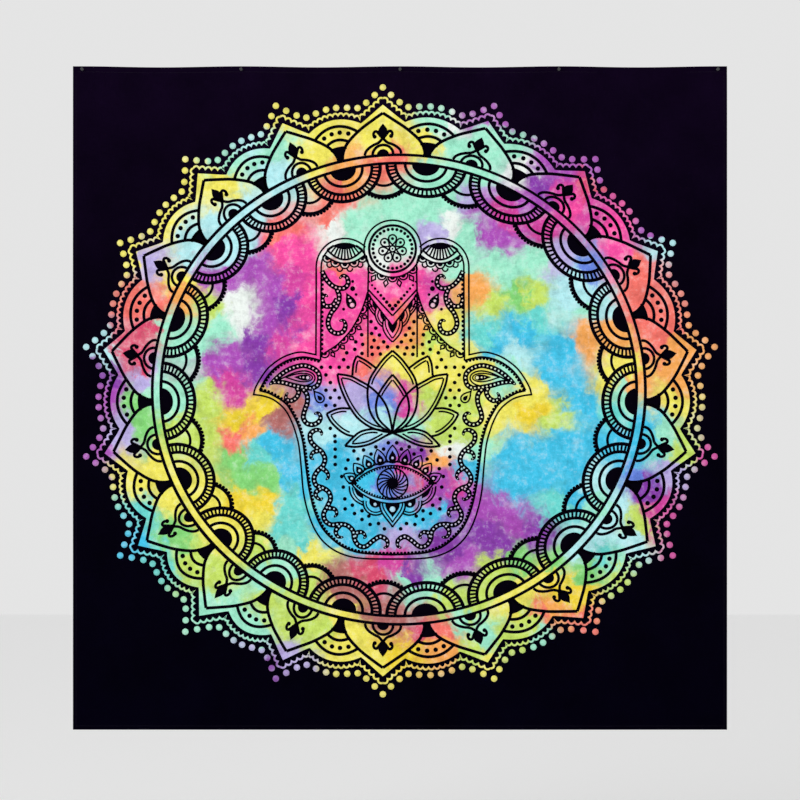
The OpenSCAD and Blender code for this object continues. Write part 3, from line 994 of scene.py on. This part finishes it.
# each scroll: is its start tapered, is its end tapered, and its points
scrolls = [
    (0, 1, [(22.7, 68.2), (20.9, 65), (18.5, 63), (15.8, 62.6), (14.3, 64), (14.6, 66), (15.9, 66.7),
            (17.1, 65.7)]),
    (0, 1, [(17.8, 62.3), (17.1, 59.9), (17.8, 57.2), (19.8, 54.5), (20.7, 51.5), (19.8, 49.1),
            (17.8, 48.1), (15.8, 48.8), (15.1, 50.8), (15.8, 52.3), (17.1, 52.1)]),
    (0, 1, [(17.8, 59.2), (19.3, 57.1), (21.7, 57.0), (22.5, 59.2), (21.7, 60.4), (20.7, 59.9)]),
    (1, 0, [(39.6, 31.7), (37.2, 33.8), (34.1, 36.1), (31, 37.4), (28.3, 37.8), (25.5, 36.9), (23.8, 35.4),
            (23.4, 33.5), (24.1, 31.5), (25.8, 30.5)]),
    (0, 1, [(25.8, 30.5), (28.6, 30.8), (32, 31.5), (35, 32.3), (37.8, 32.4), (39.6, 31.7)]),
    (0, 1, [(30.7, 30.8), (30.1, 29.2), (31, 27.4), (32.6, 26.5), (34.1, 27.1), (34.1, 28.3), (33.5, 29.2)]),
    (0, 1, [(28.9, 30.5), (27.4, 28.3), (27.4, 25.8), (28.3, 23.1), (28.6, 20.9), (27.4, 19.2),
            (25.2, 18.9), (23.5, 20), (23.1, 21.5), (24, 22.6), (25.2, 22.2)]),
    (1, 1, [(22.9, 15.3), (22.7, 16.2), (23.6, 17.1), (25.1, 16.95), (26.4, 15.7), (26.2, 13.5),
            (24.5, 11.6), (22.7, 10.1), (21.7, 7.9), (22.3, 5.7), (24.1, 3.9), (25.2, 1.7), (24.5, -.6),
            (22.3, -1.5), (20.5, -2.8), (19.9, -5), (21, -7.6), (22.1, -9.8), (21.6, -12), (19.7, -13.3),
            (17.1, -13.1), (14.6, -13.5), (12.7, -15.3), (12.2, -17.9), (10.9, -19.9), (8.7, -20.3),
            (6.1, -18.3), (3.9, -17.1), (1.8, -18.3), (1.7, -20.1), (2.9, -20.8)]),
    (0, 1, [(23.8, 10.5), (25.6, 9.8), (26.2, 8.3), (25.2, 7.6)]),
    (0, 1, [(22.7, 5), (21, 3.5), (20.6, 2), (21.4, 1.1)]),
    (0, 1, [(22.7, -1.5), (24.5, -2.8), (24.5, -4.2), (23.2, -5.2), (22.3, -4.6)]),
    (0, 1, [(20.8, -7.9), (18.6, -8.3), (17.9, -9.8), (18.8, -10.9)]),
    (0, 1, [(16.8, -13.3), (18.2, -15.3), (17.5, -17.1), (15.7, -17.3)]),
    (0, 1, [(12, -17.5), (11.6, -16), (9.8, -15.7), (8.7, -17), (9.4, -17.7)]),
]
tendrils, beads = [], []


def fullness(along, length, start_taper, end_taper, fade=4.5):
    """A band's share of its full width along it: all of it in the middle, a fifth at a tapered end."""
    start = np.clip(along / fade, 0, 1) if start_taper else 1
    end = np.clip((length - along) / fade, 0, 1) if end_taper else 1
    return 0.2 + 0.8 * np.sqrt(start * end)


for start_taper, end_taper, points in scrolls:
    line = through(points)
    run = np.append(0, np.cumsum(np.hypot(*np.diff(line, axis=0).T)))
    tendrils.append(ribbon(line, scroll_wide * fullness(run, run[-1], start_taper, end_taper)))
    places, along, _ = spaced(line, bead_pitch)
    beads.append(dots(places, bead_radius * fullness(along, run[-1], start_taper, end_taper), 9))
# drops, from tip to round end: outlined ones with their line's width, and solid ones with width 0
for tip, end, half, width in (
        ((36.7, 33.2), (24.9, 33.9), 2.4, 0.42), ((34.6, 34.1), (25.7, 33.9), 1.35, 0.38),
        ((31.8, 34.1), (26.3, 33.9), 1.0, 0), ((14.9, 61.3), (12.4, 56.1), 1.6, 0),
        ((25.2, 29.6), (22.4, 26.2), 1.35, 0.42), ((24.2, 28.3), (22.8, 26.7), 0.65, 0)):
    shape = tip, end, half, 0.68
    tendrils.append(leaf_line(*shape, width=width) if width else between(*leaf(*shape)))
drop_beads = [(29.6, 34.05, 0.20), (28.6, 34.0, 0.30), (27.2, 33.9, 0.52), (14.1, 59.8, 0.24),
              (13.6, 58.6, 0.44), (12.95, 57.2, 0.72)]
beads.append(dots([(x, z) for x, z, _ in drop_beads], [r for _, _, r in drop_beads]))
spots = [(12.8, 64.8, 0.5), (12.8, 62.5, 0.82), (11.7, 60.6, 0.48), (15.7, 55.9, 0.5)]
tendrils.append(dots([(x, z) for x, z, _ in spots], [r for _, _, r in spots]))
print_hand("tendrils", tendrils)

# ---- Lotus ------------------------------------------------------------------------------------------
# Its petals are drawn with a bold line, and a thinner one inside it that follows the same edge.
lotus_base = (0, 16.2)
lotus_outer, lotus_inner, lotus_gap = 0.60, 0.46, 1.05
lotus = {  # each petal's two edges, from its tip, and how much of each the inner line follows
    "front": ([(0, 34.9), (1.9, 32.6), (4.3, 28.9), (5.2, 25.8), (5.2, 23.1), (4, 20), lotus_base],
              None, 0.36),
    "tall": ([(0, 42.6), (2.8, 40), (5.2, 36.9), (7.1, 33.8), (7.9, 30.8), (8, 27.7), (7.4, 23.7),
              (5.9, 20.6), (3.4, 17.9), lotus_base], None, 0.42),
    "broad": ([(17.7, 35.1), (13.5, 34.4), (10.5, 32.9), (7.4, 31.1), (4.3, 28.3), (1.9, 24.6), (0.6, 20),
               lotus_base],
              [(17.7, 35.1), (17.1, 32), (15.7, 28.3), (13.8, 24.6), (11.1, 20.9), (7.4, 18.2), (3.4, 16.8),
               lotus_base], 0.42),
    "rear": ([(11.5, 40.9), (12.5, 38.4), (12.9, 34.6)], [(11.5, 40.9), (8.6, 39.4), (5.3, 37.0)], 0.9),
    "side": ([(21.2, 22.3), (18.8, 23.5), (16.3, 24.1), (13.7, 24)],
             [(21.2, 22.3), (19.7, 19.7), (17.2, 17.2), (14.8, 15.7), (12.6, 15.1)], 0.9),
    "low": ([(15.3, 12.0), (12.6, 14.8), (10.2, 16.6), (6.5, 17.4), (2.8, 16.9), lotus_base],
            [(15.3, 12.0), (11.8, 11.7), (7.9, 12.4), (4.6, 13.9), (2.1, 15.3), lotus_base], 0.74),
}


def apart(line, other):
    """How far each point of one line is from the nearest point of another."""
    return np.hypot(*(line[:, None] - other[None]).transpose(2, 0, 1)).min(1)


lotus_shapes, lotus_outlines = [], []
for first, second, share in lotus.values():
    first = through(first)
    other = first * (-1, 1) if second is None else through(second)
    lotus_outlines.append(np.vstack([first, other[::-1]]))
    pairs = [(first, other)] if second is None else [(first, other), (other, first)]
    for line, facing in pairs:
        lotus_shapes.append(ribbon(line, lotus_outer))
        # the inner line lies on the side where the petal's other edge is
        beside = [shifted_line(line, gap) for gap in (lotus_gap, -lotus_gap)]
        middle_point = len(line) // 3
        nearer = np.argmin([apart(option[middle_point:middle_point + 1], facing)[0] for option in beside])
        inner = beside[nearer]
        run = np.append(0, np.cumsum(np.hypot(*np.diff(line, axis=0).T)))
        reach = share if second is None or line is first else max(share, 0.85)
        keep = (apart(inner, facing) > lotus_gap * 0.97) & (run < run[-1] * reach)
        for part in stretches(inner, keep):
            lotus_shapes.append(ribbon(part, lotus_inner))
print_hand("lotus", lotus_shapes)

# ---- Eye --------------------------------------------------------------------------------------------
# An eye in the palm, with a swirled iris, a crown of small petals above it, and a pendant below it
# between half petals. The design is only lines and loops, with no face round it.
eye_half, eye_inner_half = 13.2, 12.3


def lid(height, half_wide, power=0.82, steps=40):
    """One lid's edge: a power of a parabola from corner to corner. Only its right half is given."""
    x = half_wide * np.sin(np.linspace(0, math.pi / 2, steps + 1))
    return np.column_stack([x, height * np.maximum(1 - (x / half_wide) ** 2, 0) ** power])


upper_outer, upper_inner = lid(7.0, eye_half), lid(5.7, eye_inner_half)
lower_outer, lower_inner = lid(-6.5, eye_half), lid(-5.2, eye_inner_half)
eye = [ribbon(line, width) for line, width in ((upper_outer, 0.46), (upper_inner, 0.42), (lower_outer, 0.44),
                                               (lower_inner, 0.36))]
eye += [toothed(upper_inner, 0.92, 0.34, -0.46), toothed(lower_inner, 0.92, 0.34, 0.44)]
eye.append(ribbon(np.array([(12.2, 0.05), (14.2, 0.05)]), np.array([0.9, 0.5])))
# the crown
for root, tip, half in (((0, 7.0), (0, 12.2), 2.0), ((3.7, 6.4), (4.9, 10.9), 1.85),
                        ((7.2, 5.3), (9.1, 8.9), 1.8), ((10.1, 3.4), (12.4, 6.4), 1.75),
                        ((12.4, 1.2), (15.6, 2.9), 1.6)):
    root, tip = np.array(root), np.array(tip)
    axis = tip - root
    eye.append(leaf_line(tip, root - 0.08 * axis, half, 0.72, 0.85, width=0.38))
    eye.append(between(*leaf(root + 0.70 * axis, root - 0.02 * axis, half * 0.62, 0.7)))
    beads.append(dots(root + 0.22 * axis, 0.42))
# the pendant
for tip_z, half, width in ((-14.1, 4.1, 0.46), (-12.6, 3.25, 0.38)):
    edge_line = leaf((0, tip_z), (0, -2.5), half, 0.62)[1]
    for part in stretches(edge_line, edge_line[:, 1] < np.interp(edge_line[:, 0], *lower_outer.T)):
        eye.append(ribbon(part, width))
core_edge = leaf((0, -11.0), (0, -4.2), 2.3, 0.6)[1]
core_edge = core_edge[core_edge[:, 1] < np.interp(core_edge[:, 0], *lower_outer.T)]


def under_lid(line):
    """The surface between a line and the eye's lower lid above it."""
    return between(line, np.column_stack([line[:, 0], np.interp(line[:, 0], *lower_outer.T)]))


eye.append(under_lid(core_edge))
beads.append(dots((0, -8.3), 0.9, 18))
# half petals on each side of it
pendant_side = leaf((0, -14.1), (0, -2.5), 4.1, 0.62)[1]
for radius, width in ((4.0, 0.46), (3.1, 0.36)):
    line = arc((5.4, -6.2), radius, -170, 10, 36)
    reach = np.interp(line[:, 1], pendant_side[:, 1], pendant_side[:, 0])
    keep = (line[:, 1] < np.interp(line[:, 0], *lower_outer.T)) & (line[:, 0] > reach)
    for part in stretches(line, keep):
        eye.append(ribbon(part, width))
core = arc((5.5, -5.9), 1.95, -155, -5, 16)
eye.append(under_lid(core))
beads.append(dots((5.6, -6.75), 0.52))
for points, width in (([(13.9, -0.9), (13.5, -3.3), (12.0, -5.5), (9.3, -7.1)], 0.46),
                      ([(12.9, -1.3), (12.4, -3.3), (11.1, -5.1), (9.2, -6.2)], 0.36)):
    eye.append(ribbon(through(points), width))
eye.append(under_lid(through([(12.3, -1.9), (11.3, -3.8), (9.4, -4.9)])))
print_hand("eye_lids", eye)

iris_radius, pupil_radius, blades, twist = 4.9, 1.80, 17, 40
iris = [ribbon(arc((0, 0), iris_radius, 0, 360, 72), 0.44), dots((0, 0), pupil_radius, 40)]
for number in range(blades):
    along = np.linspace(0, 1, 12)
    turn = np.radians(number * 360 / blades + twist * along ** 0.8)
    out = pupil_radius - 0.1 + (iris_radius - pupil_radius + 0.1) * along
    iris.append(ribbon(np.column_stack([out * np.cos(turn), out * np.sin(turn)]), 0.44 - 0.04 * along))
press("iris", [(palm + places / 100, triangles) for places, triangles in iris], black_ink)

bead_dye, tree, shader, place, woven = cloth_paint("bead_dye", 0.88, 0.04, 0.02, 0.5)
pale = mixed(tree, 0.42, dyed_colour(tree, place), (0.93, 0.97, 0.97, 1))
tree.links.new(slub_shade(tree, pale, woven, 0.92, 1.05), shader.inputs["Base Color"])
bead_lift = film_lift + 0.00020
print_hand("bare_beads", beads, bead_dye, bead_lift)

# ---- Scattered dots ---------------------------------------------------------------------------------
# The hand's open field is filled with dots in staggered rows, which stop short of every other shape.
field_edge = np.array([(0, 58), (7.9, 60.5), (9.5, 55), (12, 49.6), (16.5, 43.9), (20.5, 40.8), (23.2, 38.6),
                       (22.6, 36), (21.9, 32), (22, 28), (21.2, 24), (21.8, 19), (21.2, 16), (21.5, 12),
                       (19.8, 8), (20.2, 4.5), (18.6, 1), (19.5, -2), (17.7, -5), (17.4, -8), (16, -11),
                       (12.5, -12.3), (10.3, -14.4), (7.6, -14.4), (5.6, -16.3), (3, -15.3), (0, -17)])
side_pocket = np.array([(13.7, 24.3), (7.0, 18.2), (12.6, 14.9), (18, 20)])
rear_pocket = np.array([(12.9, 34.9), (7.4, 30.8), (5.2, 37.2), (11, 40)])
# round the eye and between the fingers they are listed one by one, to fit the spaces there
set_by_hand = np.array([
    (6.9, 51.9), (5.4, 49.8), (6.7, 48.1), (4.2, 47.6), (9.9, 47.7), (5.9, 45.9), (2.85, 45.4),
    (11.8, 45.4), (9.6, 44.6), (6.7, 43.7), (4.6, 43.5), (1.6, 43.8), (12.1, 43.0), (14.7, 41.9),
    (9.8, 41.7), (6.5, 41.4), (3.9, 41.5), (1.35, 13.0), (2.85, 11.0), (5.35, 11.7), (6.9, 9.4),
    (9.3, 10.7), (11.1, 7.8), (12.4, 10.4), (14.3, 7.5), (15.0, 4.7), (16.3, 2.2), (12.9, -7.0),
    (9.8, -8.8), (12.2, -9.7), (7.6, -10.5), (9.8, -11.6), (15.3, -5.0), (15.2, -8.2), (15.8, -1.2),
    (4.5, -12.9), (7.2, -13.2), (2.6, -14.6)])
hand_set_field = (np.array([(0, 60), (16, 60), (16, 40.3), (0, 40.3)]),
                  np.array([(0, 14.2), (17.2, 12), (17.2, -16), (0, -16)]))


def inside(points, outline):
    """Which points lie inside an outline: those whose level line crosses it an odd number of times."""
    x, z = points[:, :1], points[:, 1:]
    x0, z0 = outline.T
    x1, z1 = np.roll(outline, -1, 0).T
    crosses = (z0 > z) != (z1 > z)
    with np.errstate(divide="ignore", invalid="ignore"):
        at = x0 + (z - z0) * (x1 - x0) / (z1 - z0)
    return (crosses & (x < at)).sum(1) % 2 == 1


dot_radius, dot_across, dot_up = 0.63, 2.85, 2.45
field = np.array([((column + 0.5 + row % 2 / 2) * dot_across, 15.2 + row * dot_up) for row in range(13)
                  for column in range(-1, 9)])
field = np.vstack([field, [(18.4, 13.4 - row * dot_up) for row in range(4)]])
field = field[(field[:, 0] > -0.01) & inside(field, field_edge)]
for outline in lotus_outlines + [side_pocket, rear_pocket, *hand_set_field]:
    field = field[~inside(field, outline)]
drawn = np.vstack([places for places, _ in tendrils + lotus_shapes + eye + tips + middle])
field = field[apart(field, drawn) > dot_radius + 0.20]
field = field[(field[:, 1] < 40) | (np.abs(field[:, 0] - 7.9) > 1.0)]
print_hand("scattered_dots", [dots(np.vstack([field, set_by_hand]), dot_radius)])

# ---- Hems -------------------------------------------------------------------------------------------
# Each edge is turned to the back twice and pressed, so the hem is a flat strip of two more plies with a
# round fold at the cloth's edge and another at its inner side. Its outside is the face of the cloth.
hem_paint, tree, shader, place, woven = cloth_paint("hem_paint", 0.85, 0.03, 0.0, 0.8)
hem_tone = mixed(tree, noise(tree, place, 30.0, 4.0).outputs["Fac"], (0.0030, 0.0020, 0.0065, 1),
                 (0.0080, 0.0055, 0.0150, 1))
tree.links.new(slub_shade(tree, hem_tone, woven, 0.75, 1.25), shader.inputs["Base Color"])
pucker_pitch, pucker_depth, hem_step = 0.0064, 0.00012, 0.0032


def hem(name, node, start, end, inward, stitch_from_edge):
    """A hem from one flat place to another. Its section is a flat loop: half a circle at the outer fold,
    the back, half a circle at the inner fold, and the side that lies on the cloth. The back dips by a
    sine along the row of stitches."""
    low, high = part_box(node)
    width = (high.x - low.x) * abs(inward[0]) + (high.z - low.z) * abs(inward[1])
    start, end, inward = np.array(start), np.array(end), np.array(inward)
    outer = np.linspace(math.pi / 2, -math.pi / 2, 9)
    inner = np.linspace(-math.pi / 2, -3 * math.pi / 2, 7)
    back_in = np.linspace(0, width - fold_round - hem_t / 2, 14)[1:-1]
    front_in = back_in[::-2]
    # each point of the section: how far in from the cloth's rim, and how far behind its face
    section = np.vstack([
        np.column_stack([-fold_round * np.cos(outer), fold_round - fold_round * np.sin(outer)]),
        np.column_stack([back_in, np.full(len(back_in), 2 * fold_round)]),
        np.column_stack([width - fold_round - hem_t / 2 * (1 + np.cos(inner)),
                         2 * fold_round - hem_t / 2 * (1 + np.sin(inner))]),
        np.column_stack([front_in, np.full(len(front_in), layer_t)])])
    length = math.hypot(*(end - start))
    steps = int(length / hem_step)
    along = np.linspace(0, 1, steps + 1)
    ring = len(section)
    depth_in, behind = section.T
    dip = 0.5 - 0.5 * np.cos(2 * math.pi * along[:, None] * length / pucker_pitch)
    pucker_wide = 0.0016
    near_row = np.exp(-((depth_in - stitch_from_edge) / pucker_wide) ** 2) * (behind > 1.5 * fold_round)
    rim_place = start + (end - start) * along[:, None]
    places = (rim_place[:, None] + inward * depth_in[None, :, None]).reshape(-1, 2)
    stand = -(behind[None] - pucker_depth * dip * near_row[None]).ravel()
    first = (np.arange(steps)[:, None] * ring + np.arange(ring)).ravel()
    second = (np.arange(steps)[:, None] * ring + (np.arange(ring) + 1) % ring).ravel()
    sides = np.vstack([np.column_stack([first, second, second + ring]),
                       np.column_stack([first, second + ring, first + ring])])
    fan = np.column_stack([np.zeros(ring - 2, int), np.arange(1, ring - 1), np.arange(2, ring)])
    triangles = np.vstack([sides, fan[:, ::-1], fan + steps * ring])
    # where the cloth lies to the left of the run, the faces point outwards, and elsewhere they are turned
    if (end - start)[0] * inward[1] - (end - start)[1] * inward[0] < 0:
        triangles = triangles[:, ::-1]
    strip = make_piece(name, hang(places, stand), triangles, places, [hem_paint])
    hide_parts(node)
    return strip


side_top, side_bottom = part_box("left_hem")[1].z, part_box("left_hem")[0].z
side_row = cloth_high.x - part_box("right_stitching")[0].x - fold_round
top_row = cloth_high.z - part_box("top_stitching")[0].z - fold_round
bottom_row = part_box("bottom_stitching")[1].z - cloth_low.z - fold_round
hems = [hem(f"folded_{side}_hem", f"{side}_hem", *laid) for side, *laid in (
    ("top", (-cloth_w / 2, cloth_top_z), (cloth_w / 2, cloth_top_z), (0, -1), top_row),
    ("bottom", (-cloth_w / 2, cloth_bottom_z), (cloth_w / 2, cloth_bottom_z), (0, 1), bottom_row),
    ("left", (-half_cloth_w, side_top), (-half_cloth_w, side_bottom), (1, 0), side_row),
    ("right", (half_cloth_w, side_top), (half_cloth_w, side_bottom), (-1, 0), side_row))]
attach(hems[0], "top_edge")
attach(hems[1], "panel")
for side_hem in hems[2:]:
    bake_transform(side_hem)

# ---- Lockstitch -------------------------------------------------------------------------------------
# Black sewing thread, machine stitched: a row of short stitches on the face and the same row on the
# back, each one pulled down into the cloth at both of its ends.
stitch_pitch, stitch_length, stitch_high = 0.0032, 0.0027, 0.00024
thread_half = (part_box("top_stitching")[1].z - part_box("top_stitching")[0].z) / 2

thread_paint, tree, shader = new_paint("sewing_thread")
shader.inputs["Roughness"].default_value = 0.5
shader.inputs["Specular IOR Level"].default_value = 0.2
place = add(tree, "ShaderNodeAttribute", attribute_name="flat").outputs["Vector"]
twist_wave = add(tree, "ShaderNodeTexWave", [("Scale", 900.0), ("Distortion", 1.5)], [("Vector", place)],
                 bands_direction="DIAGONAL")
# the thread's colour follows the twist wave that is also its bump: darker in the grooves between the plies
# and lighter on their crests, a painted shade and highlight on thread that is plain black
thread_twist_painted_shade = mixed(tree, twist_wave.outputs["Fac"], (0.004, 0.003, 0.007, 1), (0.022, 0.018, 0.030, 1))
tree.links.new(thread_twist_painted_shade, shader.inputs["Base Color"])
twist_bump = add(tree, "ShaderNodeBump", [("Strength", 0.6), ("Distance", 0.0002)],
                 [("Height", twist_wave.outputs["Fac"])])
tree.links.new(twist_bump.outputs["Normal"], shader.inputs["Normal"])


def stitching(name, node, start, end):
    """A row of stitches on both faces, from one flat place to another. Each stitch is a six-sided tube
    of four rings, whose end rings are a third as thick and lie in the cloth."""
    start, end = np.array(start), np.array(end)
    length = math.hypot(*(end - start))
    count = int(length / stitch_pitch)
    direction = (end - start) / length
    across = np.array([-direction[1], direction[0]])
    middle_at = start + direction * ((np.arange(count) + 0.5) * length / count)[:, None]
    ring_at = np.array([-0.5, -0.3, 0.3, 0.5]) * stitch_length
    ring_size = np.array([0.35, 1.0, 1.0, 0.35])
    turn = np.arange(6) * math.pi / 3
    along = np.broadcast_to(ring_at[:, None], (4, 6))
    beside = thread_half * ring_size[:, None] * np.cos(turn)
    # each ring rests a little under the face, and the small ones at the ends lie wholly in the cloth
    raised = stitch_high / 2 * (ring_size[:, None] * (np.sin(turn) + 1) - 0.9)
    places = middle_at[:, None, None] + direction * along[..., None] + across * beside[..., None]
    places = places.reshape(-1, 2)
    stand = np.broadcast_to(raised, (count, 4, 6)).ravel()
    here = np.arange(18).reshape(3, 6)
    beside_here = here // 6 * 6 + (here + 1) % 6
    here, beside_here = here.ravel(), beside_here.ravel()
    tube = np.vstack([np.column_stack([here, beside_here, beside_here + 6]),
                      np.column_stack([here, beside_here + 6, here + 6])])
    fan = np.column_stack([np.zeros(4, int), np.arange(1, 5), np.arange(2, 6)])
    tube = np.vstack([tube, fan[:, ::-1], fan + 18])
    tubes = (tube[None] + np.arange(count)[:, None, None] * 24).reshape(-1, 3)
    back = -layer_t - hem_t - stand
    both_faces = np.vstack([tubes, tubes[:, ::-1] + len(places)])
    row = make_piece(name, np.vstack([hang(places, stand), hang(places, back)]), both_faces,
                     np.vstack([places, places]), [thread_paint])
    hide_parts(node)
    return row


def row_ends(node):
    """The two ends of a row of stitching, on the flat cloth."""
    low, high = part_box(node)
    if high.x - low.x > high.z - low.z:
        return (low.x, (low.z + high.z) / 2), (high.x, (low.z + high.z) / 2)
    return ((low.x + high.x) / 2, low.z), ((low.x + high.x) / 2, high.z)


rows_sewn = {side: stitching(f"{side}_lockstitch", f"{side}_stitching", *row_ends(f"{side}_stitching"))
             for side in ("top", "bottom", "left", "right")}
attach(rows_sewn["top"], "top_edge")
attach(rows_sewn["bottom"], "panel")
for side in ("left", "right"):
    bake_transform(rows_sewn[side])

# ---- Push pins --------------------------------------------------------------------------------------
# Five push pins hold the top hem to the wall. Each grip is moulded in glossy black plastic round a
# polished steel needle, with a faint seam down both sides where the mould closed.
grip_plastic, tree, shader = new_paint("moulded_black_plastic")
shader.inputs["Coat Roughness"].default_value = 0.08
shader.inputs["Coat Weight"].default_value = 0.4
place = add(tree, "ShaderNodeTexCoord").outputs["Object"]
handled = noise(tree, place, 260.0, 4.0).outputs["Fac"]
tree.links.new(ranged(tree, handled, 0.35, 0.65, 0.16, 0.34), shader.inputs["Roughness"])
grip_tone = mixed(tree, handled, (0.006, 0.006, 0.008, 1), (0.016, 0.016, 0.020, 1))
tree.links.new(grip_tone, shader.inputs["Base Color"])
scratches = noise(tree, place, 1400.0, 3.0).outputs["Fac"]
scratched = add(tree, "ShaderNodeBump", [("Strength", 0.12), ("Distance", 0.0001)], [("Height", scratches)])
tree.links.new(scratched.outputs["Normal"], shader.inputs["Normal"])

needle_steel, tree, shader = new_paint("polished_steel")
shader.inputs["Metallic"].default_value = 1.0
place = add(tree, "ShaderNodeTexCoord").outputs["Object"]
drawn = add(tree, "ShaderNodeMapping", [("Scale", (4000.0, 90.0, 4000.0))], [("Vector", place)])
draw_marks = noise(tree, drawn.outputs[0], 1.0, 2.0).outputs["Fac"]
tree.links.new(ranged(tree, draw_marks, 0.0, 1.0, 0.16, 0.36), shader.inputs["Roughness"])
steel_tone = mixed(tree, draw_marks, (0.55, 0.56, 0.58, 1), (0.72, 0.73, 0.75, 1))
tree.links.new(steel_tone, shader.inputs["Base Color"])

# the grip's profile: distance from the flange's face, and radius, in millimetres
grip_profile = np.vstack([
    [(0, 0), (0, 2.4)], arc((0.35, 4.25), 0.35, 180, 90, 5), arc((0.85, 4.25), 0.35, 90, 10, 5),
    through([(1.35, 4.0), (2.0, 3.2), (3.1, 2.78), (5.6, 2.70), (7.6, 2.80), (9.0, 3.3), (10.2, 4.35)],
            steps=5),
    arc((10.95, 4.4), 0.5, 150, 90, 4), arc((12.0, 4.4), 0.5, 90, 0, 6),
    [(12.46, 3.0), (12.42, 1.0), (12.4, 0)]])
grip_sides, seam_high, seam_wide = 48, 0.05, 0.07


def grip_mesh(centre_x, centre_z, face):
    """A turned grip: the profile carried round its axis, with a ridge at both sides for the seam."""
    turn = np.arange(grip_sides) * 2 * math.pi / grip_sides
    seam = seam_high * sum(np.exp(-((turn - at) / seam_wide) ** 2) for at in (math.pi / 2, 3 * math.pi / 2))
    radius = grip_profile[:, 1:] + seam * np.minimum(grip_profile[:, 1:], 1)
    x = centre_x + radius * np.cos(turn) / 1000
    z = centre_z + radius * np.sin(turn) / 1000
    y = np.broadcast_to(face - grip_profile[:, :1] / 1000, x.shape)
    here = (np.arange(len(grip_profile) - 1)[:, None] * grip_sides + np.arange(grip_sides)).ravel()
    there = here // grip_sides * grip_sides + (here + 1) % grip_sides
    triangles = np.vstack([np.column_stack([here, there, there + grip_sides]),
                           np.column_stack([here, there + grip_sides, here + grip_sides])])
    return np.column_stack([x.ravel(), y.ravel(), z.ravel()]), triangles


for number in range(1, 6):
    low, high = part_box(f"pin_{number}_grip")
    places, triangles = grip_mesh((low.x + high.x) / 2, (low.z + high.z) / 2, high.y)
    grip = make_piece(f"pin_{number}_moulded_grip", places, triangles, places[:, [0, 2]], [grip_plastic])
    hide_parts(f"pin_{number}_grip")
    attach(grip, f"pin_{number}")
    needle_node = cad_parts[f"pin_{number}_needle"]
    for holder in needle_node.material_slots:
        holder.material = needle_steel
